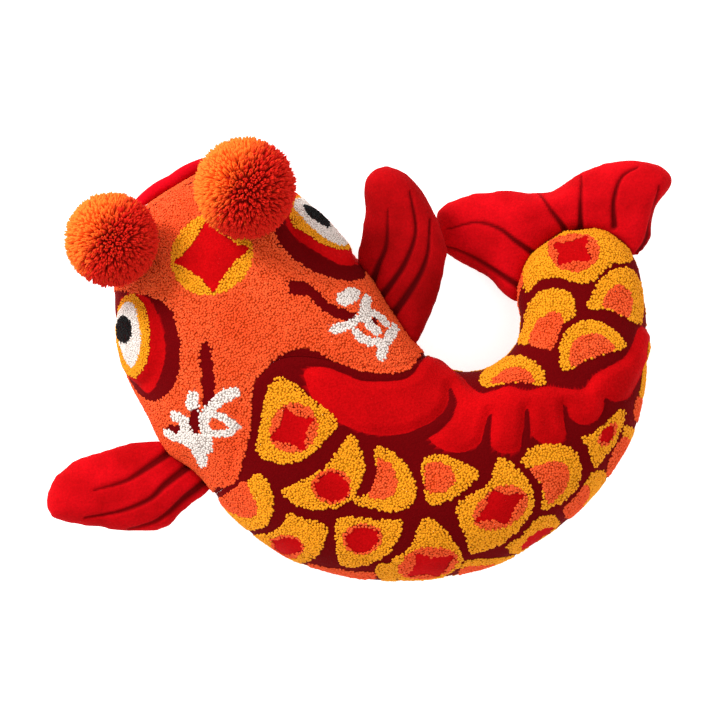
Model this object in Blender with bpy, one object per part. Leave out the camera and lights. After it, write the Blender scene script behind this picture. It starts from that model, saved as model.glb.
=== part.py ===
"""Carp cushion: a stuffed, tufted carp that lies curled in an open ring, with three sewn fins,
two yarn pom-poms on its nose and a concealed zip in its belly.

Frame: +Z up, the belly lies on Z = 0, the origin is under the middle of the whole cushion.
Every size is in metres. Plan outlines are in millimetres at the nominal length of 565.
"""

import math

import bmesh
import bpy
from mathutils import Matrix, Vector

MM = 0.001

# Overall sizes
LENGTH = 565.0 * MM  # across the whole plan, left fin tip to tail tip
NOMINAL_LENGTH = 565.0 * MM  # the length that the plan outlines are drawn at
HEIGHT = 134.0 * MM  # the thickest rib of the stuffed body

# Cloth and stuffing
WALL = 5.0 * MM  # tufted cloth with its pile
SEAM_GAP = 0.6 * MM  # between two pieces of cloth along a seam
FILL_GAP = 2.5 * MM  # between the cover and its filling
REST_GAP = 0.4 * MM  # between the belly panel and the filling that lies on it
SEAM_ANGLE = 50.0  # degrees down the lower corner, where cover and belly panel meet
WIDEST_SHARE = 0.40  # height of the widest line, as a share of a rib's height
CROWN_POWER = 2.3  # roundness of the back: 2 is an ellipse
CORNER_SHARE = 0.26  # width of the lower corner, as a share of a rib's half width
CORNER_ROUND = 7.0 * MM  # smallest radius of the lower corner
GILL_START = 6.5  # rib where the gill seam meets the belly
GILL_TONGUE = 2.0  # how far the body cover reaches forward along the back, in ribs

# Fins
FIN_HALF = 16.0 * MM
TAIL_HALF = 15.0 * MM
FIN_EDGE = 1.5 * MM  # half thickness along the sewn edge
FIN_PANEL = 2.5 * MM
FIN_ROOT_GAP = 0.5 * MM
TAIL_ROOT_GAP = 1.3 * MM
PANEL_GAP = 0.3 * MM
FIN_FILL_GAP = 0.6 * MM
RIGHT_FIN_LIFT = 14.0 * MM  # the right fin lies over the tip of the tail

# Pom-poms
LEFT_POMPOM = 83.0 * MM
RIGHT_POMPOM = 90.0 * MM
KNOT_RADIUS = 1.7 * MM
KNOT_GAP = 0.3 * MM

# Lip, mouth and eyes
LIP_RADIUS = 4.8 * MM
LIP_BULGE = 1.5 * MM  # how far the lip arches forward between its ends
LIP_DIP = 1.5 * MM  # and how far it dips back in its middle
MOUTH_PANEL = 3.5 * MM
MOUTH_GAP = 0.4 * MM
EYE_PAD = 6.0 * MM
EYE_GAP = 0.75 * MM

# Zip
ZIP_START, ZIP_END = 2.2, 5.2  # ribs
ZIP_SLOT = 15.0 * MM
ZIP_CLEAR = 0.3 * MM
TAPE_THICK = 0.7 * MM
TAPE_HEIGHT = 3.6 * MM  # underside of the tapes above the table
COIL_WIDE = 2.4 * MM
COIL_HIGH = 1.8 * MM
SLIDER_LONG = 10.0 * MM
SLIDER_WIDE = 6.0 * MM
SLIDER_PLATE = 0.8 * MM
SLIDER_FLANGE = 1.0 * MM
SLIDER_EAR = 0.8 * MM
PULL_LONG = 18.0 * MM
PULL_WIDE = 5.0 * MM
PULL_NECK = 2.6 * MM  # the narrow part of the pull between the slider's ears
PULL_THICK = 0.9 * MM
PIN_RADIUS = 0.45 * MM
EYE_WALL = 0.35 * MM  # of the pull's eye
STOP_LONG = 3.0 * MM

# Ribs from the mouth to the tail root: outer edge, inner edge, and height as a share of HEIGHT
RIBS = (
    ((-204, 129), (-126, 176), 0.46),
    ((-218, 96), (-95, 170), 0.64),
    ((-222, 46), (-54, 147), 0.85),
    ((-214, -6), (-19, 110), 0.95),
    ((-194, -47), (10, 75), 0.99),
    ((-175, -82), (32, 41), 1.00),
    ((-147, -104), (51, 13), 0.99),
    ((-116, -142), (66, 2), 0.98),
    ((-68, -177), (77, -5), 0.97),
    ((-10, -195), (89, -9), 0.97),
    ((53, -198), (101, -9), 0.97),
    ((116, -186), (112, -7), 0.95),
    ((175, -154), (124, -1), 0.90),
    ((218, -113), (135, 8), 0.83),
    ((246, -66), (142, 22), 0.76),
    ((257, -16), (144, 38), 0.68),
    ((258, 31), (142, 53), 0.61),
    ((254, 72), (143, 71), 0.54),
    ((244, 100), (152, 93), 0.48),
    ((227, 114), (169, 108), 0.42),
    ((213, 119), (182, 117), 0.35),
)
LAST_RIB = len(RIBS) - 1
HEAD_STEPS = 11
BODY_STEPS = 23
COVER_STEPS = 14
BELLY_STEPS = 3

# Free edges of the fins, from the front of the root to its back
LEFT_FIN = (
    (-203, -74), (-226, -81), (-246, -87), (-271, -101), (-282, -122),
    (-280, -137), (-271, -144), (-235, -150), (-208, -153), (-176, -151), (-161, -135),
)
LEFT_FIN_ROOT = (4.75, 6.35)
LEFT_FIN_SPINE = ((-248, -122), (-184, -110))
RIGHT_FIN = (
    (5, 131), (4, 160), (17, 173), (35, 170), (53, 153), (64, 135),
    (74, 108), (76, 94), (69, 63), (59, 37),
)
RIGHT_FIN_ROOT = (3.55, 5.85)
RIGHT_FIN_SPINE = ((32, 140), (50, 62))
TAIL_FIN = (
    (129, 65), (107, 84), (77, 96), (68, 132), (82, 142), (116, 152),
    (144, 151), (173, 153), (197, 168), (233, 180), (265, 176), (282, 164), (272, 149),
    (261, 133), (262, 112),
)
TAIL_ROOT = (16.1, 17.9)
TAIL_SPINE = ((92, 120), (130, 112), (165, 135), (205, 143), (232, 150), (262, 160))

# Seats of the soft trim on the head: (rib, degrees round from the outer edge over the back)
LEFT_POMPOM_SEAT = (1.45, 54.0)
RIGHT_POMPOM_SEAT = (1.85, 116.0)
LEFT_EYE = (2.75, 30.0)
RIGHT_EYE = (2.85, 156.0)
EYE_REACH = (0.72, 22.0)


def clear_scene():
    for ob in list(bpy.data.objects):
        bpy.data.objects.remove(ob, do_unlink=True)


def material(name, colour, roughness=0.9, metallic=0.0):
    mat = bpy.data.materials.new(name)
    mat.use_nodes = True
    shader = mat.node_tree.nodes["Principled BSDF"]
    shader.inputs["Base Color"].default_value = (*colour, 1.0)
    shader.inputs["Roughness"].default_value = roughness
    shader.inputs["Metallic"].default_value = metallic
    return mat


def new_object(name, bm, mat):
    bmesh.ops.recalc_face_normals(bm, faces=bm.faces)
    mesh = bpy.data.meshes.new(name)
    bm.to_mesh(mesh)
    bm.free()
    mesh.materials.append(mat)
    mesh.shade_smooth()
    mesh.set_sharp_from_angle(angle=math.radians(45))
    ob = bpy.data.objects.new(name, mesh)
    bpy.context.scene.collection.objects.link(ob)
    return ob


def hang(ob, empty):
    """Gives a moving piece its joint's empty as parent, and leaves it where it is."""
    ob.data.transform(empty.matrix_world.inverted())
    ob.parent = empty
    return ob


def joint_empty(name, place, axis, up):
    """An empty on a joint's axis, which is its local X."""
    x = axis.normalized()
    y = up.cross(x).normalized()
    z = x.cross(y)
    turn = Matrix((x, y, z)).transposed().to_4x4()
    empty = bpy.data.objects.new(name, None)
    empty.matrix_world = Matrix.Translation(place) @ turn
    bpy.context.scene.collection.objects.link(empty)
    bpy.context.view_layer.update()
    return empty


def plan(point):
    """A plan point of the outlines as a flat vector in metres."""
    return Vector((point[0], point[1], 0.0)) * (MM * LENGTH / NOMINAL_LENGTH)


def between(values, t):
    """Catmull-Rom curve through a list of vectors, read at position t."""
    i = min(max(int(t), 0), len(values) - 2)
    a, b, c, d = (values[min(max(k, 0), len(values) - 1)] for k in range(i - 1, i + 3))
    f = t - i
    return 0.5 * (2 * b + (c - a) * f + (2 * a - 5 * b + 4 * c - d) * f**2 + (3 * b - a - 3 * c + d) * f**3)


OUTER = [plan(rib[0]) for rib in RIBS]
INNER = [plan(rib[1]) for rib in RIBS]
TALL = [rib[2] * HEIGHT for rib in RIBS]


class Rib:
    """The upright section of the body at one place along it."""

    def __init__(self, u):
        outer, inner = between(OUTER, u), between(INNER, u)
        self.middle = (outer + inner) / 2
        self.half = (outer - inner).length / 2
        self.across = (outer - inner).normalized()
        self.height = between(TALL, u)
        self.widest = WIDEST_SHARE * self.height
        corner = max(CORNER_SHARE * self.half, math.sqrt(CORNER_ROUND * self.widest))
        self.corner = min(corner, self.half)
        self.flat = self.half - self.corner

    def curve(self, t):
        """Place across and height, with the outward normal, t degrees from the outer edge over the back."""
        side = 1.0
        if t > 90:
            t, side = 180 - t, -1.0
        c, s = math.cos(math.radians(t)), math.sin(math.radians(t))
        if t >= 0:
            rise = self.height - self.widest
            x, z = max(c, 0) ** (2 / CROWN_POWER), s ** (2 / CROWN_POWER)
            normal = (x ** (CROWN_POWER - 1) / self.half, z ** (CROWN_POWER - 1) / rise)
            place = (x * self.half, self.widest + z * rise)
        else:
            normal = (c / self.corner, s / self.widest)
            place = (self.flat + self.corner * c, self.widest * (1 + s))
        size = math.hypot(*normal)
        return side * place[0], place[1], side * normal[0] / size, normal[1] / size

    def point(self, t, depth=0.0):
        """A point of the surface, moved inwards by depth."""
        x, z, nx, nz = self.curve(t)
        return self.middle + self.across * (x - nx * depth) + Vector((0, 0, z - nz * depth))

    def flat_point(self, share, depth=0.0):
        """A point of the flat underside, from +1 at the outer corner to -1 at the inner one."""
        return self.middle + self.across * (share * self.flat) + Vector((0, 0, depth))

    def seam_step(self):
        """Degrees along the lower corner that half a seam gap takes."""
        a = math.radians(SEAM_ANGLE)
        return math.degrees(SEAM_GAP / 2 / math.hypot(self.corner * math.sin(a), self.widest * math.cos(a)))


def surface(u, t, depth=0.0):
    return Rib(u).point(t, depth)


def surface_normal(u, t):
    step = 0.02
    along = surface(u + step, t) - surface(u - step, t)
    round_it = surface(u, t + 1.0) - surface(u, t - 1.0)
    normal = along.cross(round_it).normalized()
    return normal if normal.dot(surface(u, t) - Rib(u).middle) > 0 else -normal


def cover_row(u, depth):
    """Points over the back, from the outer seam to the inner seam, of one rib."""
    rib = Rib(u)
    low = -SEAM_ANGLE + rib.seam_step()
    return [rib.point(low + (180 - 2 * low) * k / COVER_STEPS, depth) for k in range(COVER_STEPS + 1)]


def cover_angle(u, k):
    low = -SEAM_ANGLE + Rib(u).seam_step()
    return low + (180 - 2 * low) * k / COVER_STEPS


def belly_row(u, depth):
    """Points under the belly, from the outer seam to the inner seam, of one rib."""
    rib = Rib(u)
    top = -SEAM_ANGLE - rib.seam_step()
    corner = [top + (-90 - top) * k / BELLY_STEPS for k in range(BELLY_STEPS + 1)]
    flat = [rib.flat_point(share, depth) for share in (0.5, 0.0, -0.5)]
    return [rib.point(t, depth) for t in corner] + flat + [rib.point(180 - t, depth) for t in reversed(corner)]


def fill_row(u):
    """The closed section of the filling at one rib."""
    rib, depth = Rib(u), WALL + FILL_GAP
    low = -SEAM_ANGLE
    over = [rib.point(low + (180 - 2 * low) * k / COVER_STEPS, depth) for k in range(COVER_STEPS + 1)]
    under = [rib.flat_point(share, WALL + REST_GAP) for share in (-1.0, 0.0, 1.0)]
    return over + under


def quads(bm, rows, close=False):
    """Faces between neighbouring rows of vertices."""
    for a, b in zip(rows, rows[1:]):
        count = len(a) if close else len(a) - 1
        for k in range(count):
            bm.faces.new((a[k], a[(k + 1) % len(a)], b[(k + 1) % len(a)], b[k]))


def thick_sheet(name, outer, inner, mat):
    """A closed piece of cloth between two grids of points."""
    bm = bmesh.new()
    top = [[bm.verts.new(p) for p in row] for row in outer]
    under = [[bm.verts.new(p) for p in row] for row in inner]
    quads(bm, top)
    quads(bm, under)
    for k in (0, -1):
        quads(bm, [top[k], under[k]])
        quads(bm, [[row[k] for row in top], [row[k] for row in under]])
    return new_object(name, bm, mat)


def loft(name, rows, mat):
    """A solid through closed rows of points, with flat ends."""
    bm = bmesh.new()
    rings = [[bm.verts.new(p) for p in row] for row in rows]
    quads(bm, rings, close=True)
    bm.faces.new(rings[0])
    bm.faces.new(rings[-1])
    return new_object(name, bm, mat)


def gill(t):
    """The rib where the gill seam runs, t degrees over the back."""
    s = math.sin(math.radians(min(max(t, 0), 180)))
    return GILL_START - GILL_TONGUE * s**6


def steps(start, end, count):
    return [start + (end - start) * k / count for k in range(count + 1)]


def skewed_rows(start, end, count, depth):
    """Rows of a cover whose ends follow start(t) and end(t)."""
    columns = []
    for k in range(COVER_STEPS + 1):
        t = cover_angle(GILL_START, k)
        columns.append([cover_row(u, depth)[k] for u in steps(start(t), end(t), count)])
    return [list(row) for row in zip(*columns)]


def head_cover(mat):
    gap = gill_gap()
    rows = [skewed_rows(lambda t: 0.0, lambda t: gill(t) - gap, HEAD_STEPS, d) for d in (0.0, WALL)]
    return thick_sheet("head_cover", rows[0], rows[1], mat)


def body_cover(mat):
    gap = gill_gap()
    rows = [skewed_rows(lambda t: gill(t) + gap, lambda t: LAST_RIB, BODY_STEPS, d) for d in (0.0, WALL)]
    return thick_sheet("body_cover", rows[0], rows[1], mat)


def gill_gap():
    """Half of the gill seam's gap, in ribs."""
    rib_step = (Rib(GILL_START + 0.5).middle - Rib(GILL_START - 0.5).middle).length
    return SEAM_GAP / rib_step


def belly_panels(mat):
    gap = gill_gap()
    pieces = []
    for name, start, end, count in (
        ("head_belly_panel", 0.0, GILL_START - gap, HEAD_STEPS),
        ("body_belly_panel", GILL_START + gap, LAST_RIB, BODY_STEPS),
    ):
        rows = [[belly_row(u, d) for u in steps(start, end, count)] for d in (0.0, WALL)]
        pieces.append(thick_sheet(name, rows[0], rows[1], mat))
    return pieces


def fillings(mat):
    gap = gill_gap()
    head = [fill_row(u) for u in steps(0.1, GILL_START - gap, HEAD_STEPS)]
    body = [fill_row(u) for u in steps(GILL_START + gap, LAST_RIB - 0.4, BODY_STEPS)]
    loft("head_filling", head, mat)
    loft("body_filling", body, mat)


def forward(u):
    """Level direction out of the mouth end at a rib."""
    across = Rib(u).across
    ahead = Vector((-across.y, across.x, 0.0))
    return ahead if ahead.dot(Rib(u).middle - Rib(u + 1).middle) > 0 else -ahead


def mouth_panel(mat):
    """The front of the head: a thick panel that narrows forwards."""
    rib, ahead = Rib(0.0), forward(0.0)
    count = 24
    rows = []
    for move, size in ((MOUTH_GAP, 0.99), (0.6 * MOUTH_PANEL, 0.93), (MOUTH_PANEL, 0.78)):
        middle = rib.middle + Vector((0, 0, rib.height / 2)) + ahead * move
        row = []
        for k in range(count):
            a = 2 * math.pi * k / count
            wide = size * rib.half * math.cos(a)
            high = size * rib.height / 2 * math.sin(a)
            row.append(middle + rib.across * wide + Vector((0, 0, high)))
        rows.append(row)
    return loft("mouth_panel", rows, mat)


def upper_lip(mat):
    """A roll along the front of the mouth, with a dip in its middle."""
    rib, ahead = Rib(0.0), forward(0.0)
    count, sides = 14, 10
    rows = []
    for k in range(count + 1):
        f = 2 * k / count - 1
        wide = 0.92 * rib.half * f
        arch = LIP_BULGE * (1 - f * f) - LIP_DIP * math.exp(-(6 * f) ** 2)
        reach = MOUTH_PANEL + LIP_RADIUS + MOUTH_GAP + arch
        middle = rib.middle + rib.across * wide + ahead * reach + Vector((0, 0, rib.height * (0.66 - 0.2 * f * f)))
        radius = LIP_RADIUS * math.sqrt(max(1 - f**4, 0.06))
        ring = [2 * math.pi * j / sides for j in range(sides)]
        rows.append([middle + ahead * (radius * math.cos(a)) + Vector((0, 0, radius * math.sin(a))) for a in ring])
    return loft("upper_lip", rows, mat)


def eye_pad(name, centre, mat):
    """A raised oval pad that follows the side of the head."""
    rings, sides = (1.0, 0.8, 0.5), 20
    bm = bmesh.new()

    def place(share, k, depth):
        a = 2 * math.pi * k / sides
        u = centre[0] + EYE_REACH[0] * share * math.cos(a)
        t = centre[1] + EYE_REACH[1] * share * math.sin(a)
        return surface(u, t) + surface_normal(u, t) * depth

    def side(heights):
        rows = [[bm.verts.new(place(r, k, h)) for k in range(sides)] for r, h in zip(rings, heights)]
        quads(bm, rows, close=True)
        tip = bm.verts.new(place(0.0, 0, heights[-1]))
        for k in range(sides):
            bm.faces.new((rows[-1][k], rows[-1][(k + 1) % sides], tip))
        return rows[0]

    rim = side((EYE_GAP + 0.3 * EYE_PAD, EYE_GAP + 0.8 * EYE_PAD, EYE_GAP + EYE_PAD))
    base = side((EYE_GAP, EYE_GAP, EYE_GAP))
    quads(bm, [rim, base], close=True)
    return new_object(name, bm, mat)


def root_line(start, end, side, gap, lift=0.0, count=5):
    """Level points just outside the body, lift above its widest line. Side is +1 for the outer edge."""
    points = []
    for u in steps(start, end, count):
        rib = Rib(u)
        rise = rib.height - rib.widest
        t = math.degrees(math.asin((lift / rise) ** (CROWN_POWER / 2)))
        point = rib.point(t if side > 0 else 180 - t) + rib.across * (side * gap)
        points.append(Vector((point.x, point.y, 0.0)))
    return points


def fin_heights(half):
    """Share of the way out from the spine and outer half height, from the sewn edge inwards."""
    return ((1.0, FIN_EDGE), (0.9, 0.45 * half), (0.7, 0.8 * half), (0.35, half))


def nearest_on(spine, p):
    """The point of a chain of straight runs that is nearest to p."""
    best = None
    for a, b in zip(spine, spine[1:]):
        run = b - a
        f = min(max((p - a).dot(run) / run.length_squared, 0.0), 1.0)
        q = a + run * f
        if best is None or (p - q).length < (p - best).length:
            best = q
    return best


def fin_ring(bm, outline, spine, share, z):
    """The outline drawn in towards the spine, at one height."""
    lift = Vector((0, 0, z))
    ring = []
    for p in outline:
        q = nearest_on(spine, p)
        ring.append(bm.verts.new(q + (p - q) * share + lift))
    return ring


def fin_dome(bm, outline, spine, middle, levels, start=None):
    """Rings that rise from the edge to a flat top; returns the first ring."""
    rows = [start] if start else []
    rows += [fin_ring(bm, outline, spine, share, middle + height) for share, height in levels]
    quads(bm, rows, close=True)
    bm.faces.new(rows[-1])
    return rows[0]


def fin_panel(name, outline, spine, middle, half, sign, mat):
    """One side of a fin: a domed panel with its rim on the middle plane. Sign is +1 for the top."""
    bm = bmesh.new()
    levels = fin_heights(half)
    rim = sign * PANEL_GAP / 2
    outside = [(1.0, rim)] + [(s, sign * h) for s, h in levels]
    inside = [(0.975, rim)] + [(s * 0.975, sign * (h - FIN_PANEL)) for s, h in levels[1:]]
    rims = [fin_dome(bm, outline, spine, middle, side) for side in (outside, inside)]
    quads(bm, rims, close=True)
    return new_object(name, bm, mat)


def fin_filling(name, outline, spine, middle, half, mat):
    """The stuffing of a fin."""
    bm = bmesh.new()
    rim = fin_ring(bm, outline, spine, 0.92, middle)
    for sign in (1.0, -1.0):
        levels = [(s * 0.95, sign * (h - FIN_PANEL - FIN_FILL_GAP)) for s, h in fin_heights(half)[1:]]
        fin_dome(bm, outline, spine, middle, levels, start=rim)
    return new_object(name, bm, mat)


def smooth_edge(points, count):
    """A free edge as evenly spread points on a smooth curve."""
    return [between(points, (len(points) - 1) * k / count) for k in range(count + 1)]


def fin(prefix, free, root, spine, middle, half, hinge, cloth, wool):
    """Two panels and their filling, which turn on the sewn root."""
    outline = smooth_edge([root[-1]] + [plan(p) for p in free] + [root[0]], 20) + root[1:-1]
    line = [plan(p) for p in spine]
    pieces = (
        fin_panel(prefix + "_top_panel", outline, line, middle, half, 1.0, cloth),
        fin_panel(prefix + "_bottom_panel", outline, line, middle, half, -1.0, cloth),
        fin_filling(prefix + "_filling", outline, line, middle, half, wool),
    )
    for piece in pieces:
        hang(piece, hinge)


def left_fin(cloth, wool):
    start, end = LEFT_FIN_ROOT
    middle = Rib((start + end) / 2).widest
    root = root_line(end, start, 1, FIN_ROOT_GAP)
    z = Vector((0, 0, middle))
    hinge = joint_empty("left_fin_hinge", (root[0] + root[-1]) / 2 + z, root[-1] - root[0], Vector((0, 0, 1)))
    fin("left_fin", LEFT_FIN, root, LEFT_FIN_SPINE, middle, FIN_HALF, hinge, cloth, wool)


def right_fin(cloth, wool):
    start, end = RIGHT_FIN_ROOT
    middle = Rib((start + end) / 2).widest + RIGHT_FIN_LIFT
    root = root_line(end, start, -1, FIN_ROOT_GAP, RIGHT_FIN_LIFT)
    z = Vector((0, 0, middle))
    hinge = joint_empty("right_fin_hinge", (root[0] + root[-1]) / 2 + z, root[0] - root[-1], Vector((0, 0, 1)))
    fin("right_fin", RIGHT_FIN, root, RIGHT_FIN_SPINE, middle, FIN_HALF, hinge, cloth, wool)


def tail_fin(cloth, wool):
    """The tail: its root wraps the rounded end of the body."""
    start, end = TAIL_ROOT
    middle = Rib(end).widest
    outer = root_line(end, LAST_RIB, 1, TAIL_ROOT_GAP, count=4)
    inner = root_line(LAST_RIB, start, -1, TAIL_ROOT_GAP, count=6)
    tip = forward_end() * TAIL_ROOT_GAP
    root = outer[:-1] + [outer[-1] + tip, inner[0] + tip] + inner[1:]
    z = Vector((0, 0, middle))
    hinge = joint_empty("tail_hinge", (outer[0] + inner[3]) / 2 + z, outer[0] - inner[3], Vector((0, 0, 1)))
    fin("tail_fin", TAIL_FIN, root, TAIL_SPINE, middle, TAIL_HALF, hinge, cloth, wool)


def forward_end():
    """Level direction out of the tail end."""
    across = Rib(LAST_RIB).across
    away = Vector((-across.y, across.x, 0.0))
    return away if away.dot(Rib(LAST_RIB).middle - Rib(LAST_RIB - 1).middle) > 0 else -away


def seat_on(cover, place, normal):
    """Where a line along the normal meets the cover's outside."""
    bpy.context.view_layer.update()
    _, where, _, _ = cover.ray_cast(place + normal * WALL, -normal)
    return where


def pompom(side, diameter, seat, cover, yarn, thread):
    """A ball of cut yarn on a knot, which is sewn to the head."""
    u, t = seat
    normal = surface_normal(u, t)
    pivot = seat_on(cover, surface(u, t), normal) + normal * (KNOT_GAP + KNOT_RADIUS)
    centre = pivot + normal * (KNOT_RADIUS + KNOT_GAP + diameter / 2)
    across = Rib(u).across
    nod_axis = (across - normal * across.dot(normal)).normalized()
    nod = joint_empty(f"{side}_pompom_nod", pivot, nod_axis, normal)
    sway = joint_empty(f"{side}_pompom_sway", pivot, normal.cross(nod_axis), normal)
    knot = bmesh.new()
    bmesh.ops.create_icosphere(knot, subdivisions=2, radius=KNOT_RADIUS, matrix=Matrix.Translation(pivot))
    hang(new_object(f"{side}_pompom_knot", knot, thread), nod)
    ball = bmesh.new()
    turn = normal.to_track_quat("Z", "Y").to_matrix().to_4x4()
    place = Matrix.Translation(centre) @ turn
    bmesh.ops.create_uvsphere(ball, u_segments=18, v_segments=12, radius=diameter / 2, matrix=place)
    hang(new_object(f"{side}_pompom", ball, yarn), sway)


def zip_frame():
    """Matrix of the zip: X along it from its closed end, Y across it, Z up, on the table."""
    start, end = Rib(ZIP_START).middle, Rib(ZIP_END).middle
    x = (end - start).normalized()
    y = Vector((0, 0, 1)).cross(x)
    turn = Matrix((x, y, Vector((0, 0, 1)))).transposed().to_4x4()
    return Matrix.Translation(start) @ turn, (end - start).length


def block(name, low, high, frame, mat, bevel=0.0):
    """A box between two corners in the zip's frame."""
    bm = bmesh.new()
    bmesh.ops.create_cube(bm, size=1.0)
    size = [b - a for a, b in zip(low, high)]
    middle = [(a + b) / 2 for a, b in zip(low, high)]
    bmesh.ops.scale(bm, vec=size, verts=bm.verts)
    bmesh.ops.translate(bm, vec=middle, verts=bm.verts)
    if bevel:
        bmesh.ops.bevel(
            bm, geom=list(bm.edges), offset=bevel, offset_type="OFFSET", segments=1, profile=0.5,
            affect="EDGES", material=-1,
        )
    bmesh.ops.transform(bm, matrix=frame, verts=bm.verts)
    return new_object(name, bm, mat)


def cut(target, cutter):
    """Takes the cutter's shape out of a piece."""
    cutter.hide_render = True
    cutter.display_type = "WIRE"
    tool = target.modifiers.new("cut_" + cutter.name, "BOOLEAN")
    tool.operation = "DIFFERENCE"
    tool.object = cutter


def zip_slot(panel, mat):
    frame, length = zip_frame()
    half = ZIP_SLOT / 2
    cutter = block("zip_slot_cutter", (0, -half, -WALL), (length, half, 3 * WALL), frame, mat)
    cut(panel, cutter)


def zip_tapes(mat):
    frame, length = zip_frame()
    low, high = COIL_WIDE / 2 + ZIP_CLEAR, ZIP_SLOT / 2 - ZIP_CLEAR
    top = TAPE_HEIGHT + TAPE_THICK
    for name, a, b in (("zip_tape_left", low, high), ("zip_tape_right", -high, -low)):
        block(name, (ZIP_CLEAR, a, TAPE_HEIGHT), (length - ZIP_CLEAR, b, top), frame, mat)


def zip_coil(mat):
    frame, length = zip_frame()
    middle = TAPE_HEIGHT + TAPE_THICK / 2
    end = STOP_LONG + 2 * ZIP_CLEAR
    low = (end, -COIL_WIDE / 2, middle - COIL_HIGH / 2)
    high = (length - end, COIL_WIDE / 2, middle + COIL_HIGH / 2)
    return block("zip_coil", low, high, frame, mat, bevel=0.4 * MM)


def zip_stops(mat):
    frame, length = zip_frame()
    middle = TAPE_HEIGHT + TAPE_THICK / 2
    for name, x in (("zip_top_stop", ZIP_CLEAR), ("zip_bottom_stop", length - ZIP_CLEAR - STOP_LONG)):
        low = (x, -COIL_WIDE / 2, middle - COIL_HIGH / 2)
        high = (x + STOP_LONG, COIL_WIDE / 2, middle + COIL_HIGH / 2)
        block(name, low, high, frame, mat, bevel=0.3 * MM)


def coil_bottom():
    return TAPE_HEIGHT + TAPE_THICK / 2 - COIL_HIGH / 2


def slider_start():
    return STOP_LONG + 3 * ZIP_CLEAR


def pull_eye():
    return PIN_RADIUS + ZIP_CLEAR + EYE_WALL


def pin_place():
    """Where the pull's pin lies, in the zip's frame: ahead of the slider's plate, under the coil."""
    return slider_start() + SLIDER_LONG + pull_eye() + ZIP_CLEAR, coil_bottom() - ZIP_CLEAR - pull_eye()


def zip_slider(mat, carriage):
    """A channel under the coil, and two ears with a pin for the pull."""
    frame, _ = zip_frame()
    x0 = slider_start()
    x1 = x0 + SLIDER_LONG
    top = coil_bottom() - ZIP_CLEAR
    half = SLIDER_WIDE / 2
    inside = COIL_WIDE / 2 + ZIP_CLEAR
    rise = TAPE_HEIGHT - ZIP_CLEAR
    profile = (
        (-half, top - SLIDER_PLATE), (half, top - SLIDER_PLATE), (half, top),
        (inside + SLIDER_FLANGE, rise), (inside, rise), (inside, top),
        (-inside, top), (-inside, rise), (-inside - SLIDER_FLANGE, rise), (-half, top),
    )
    channel = loft("zip_slider", [[frame @ Vector((x, y, z)) for y, z in profile] for x in (x0, x1)], mat)
    pin_x, pin_z = pin_place()
    drop = 1.8 * PIN_RADIUS
    ear = PULL_NECK / 2 + ZIP_CLEAR
    for side in (1, -1):
        ys = sorted((side * ear, side * (ear + SLIDER_EAR)))
        low = (x1 - 1.5 * MM, ys[0], pin_z - drop)
        high = (pin_x + drop, ys[1], top - SLIDER_PLATE / 3)
        join(channel, block("slider_ear", low, high, frame, mat))
    join(channel, pin("slider_pin", ear + SLIDER_EAR / 2, PIN_RADIUS, frame, mat))
    return hang(channel, carriage)


def pin(name, half, radius, frame, mat):
    """A short round bar across the zip on the pull's axis."""
    x, z = pin_place()
    bm = bmesh.new()
    turn = Matrix.Rotation(math.pi / 2, 4, "X")
    bmesh.ops.create_cone(
        bm, cap_ends=True, segments=12, radius1=radius, radius2=radius, depth=2 * half,
        matrix=frame @ Matrix.Translation((x, 0, z)) @ turn,
    )
    return new_object(name, bm, mat)


def join(target, extra):
    """Makes extra one body with the target."""
    tool = target.modifiers.new("join_" + extra.name, "BOOLEAN")
    tool.operation = "UNION"
    tool.object = extra
    settle(target)
    bpy.data.objects.remove(extra, do_unlink=True)


def settle(ob):
    """Turns an object's modifiers into its mesh."""
    bpy.context.view_layer.update()
    shape = ob.evaluated_get(bpy.context.evaluated_depsgraph_get())
    mesh = bpy.data.meshes.new_from_object(shape)
    ob.modifiers.clear()
    ob.data = mesh


def zip_pull(mat, pivot):
    """A tab with an eye round the slider's pin, which lies flat along the zip."""
    frame, _ = zip_frame()
    x, z = pin_place()
    neck = PULL_NECK / 2
    low, high = z - PULL_THICK / 2, z + PULL_THICK / 2
    grip = x + 0.45 * PULL_LONG
    end = x + PULL_LONG
    start = x + PIN_RADIUS + ZIP_CLEAR + EYE_WALL / 2
    half = PULL_WIDE / 2
    outline = (
        (start, -neck), (grip, -neck), (grip + half - neck, -half), (end, -half),
        (end, half), (grip + half - neck, half), (grip, neck), (start, neck),
    )
    tab = loft("zip_pull", [[frame @ Vector((px, py, pz)) for px, py in outline] for pz in (low, high)], mat)
    eye = pin("pull_eye", neck - 0.1 * MM, pull_eye(), frame, mat)
    hole = pin("pull_hole", PULL_WIDE, PIN_RADIUS + ZIP_CLEAR, frame, mat)
    join(tab, eye)
    cut(tab, hole)
    settle(tab)
    bpy.data.objects.remove(hole, do_unlink=True)
    return hang(tab, pivot)


def zip_works(mat):
    frame, _ = zip_frame()
    turn = frame.to_3x3()
    along, across = turn @ Vector((1, 0, 0)), turn @ Vector((0, 1, 0))
    x, z = pin_place()
    up = Vector((0, 0, 1))
    start = frame @ Vector((slider_start(), 0, coil_bottom()))
    carriage = joint_empty("zip_slide", start, along, up)
    pivot = joint_empty("zip_pull_pivot", frame @ Vector((x, 0, z)), across, up)
    zip_slider(mat, carriage)
    zip_pull(mat, pivot)


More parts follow.
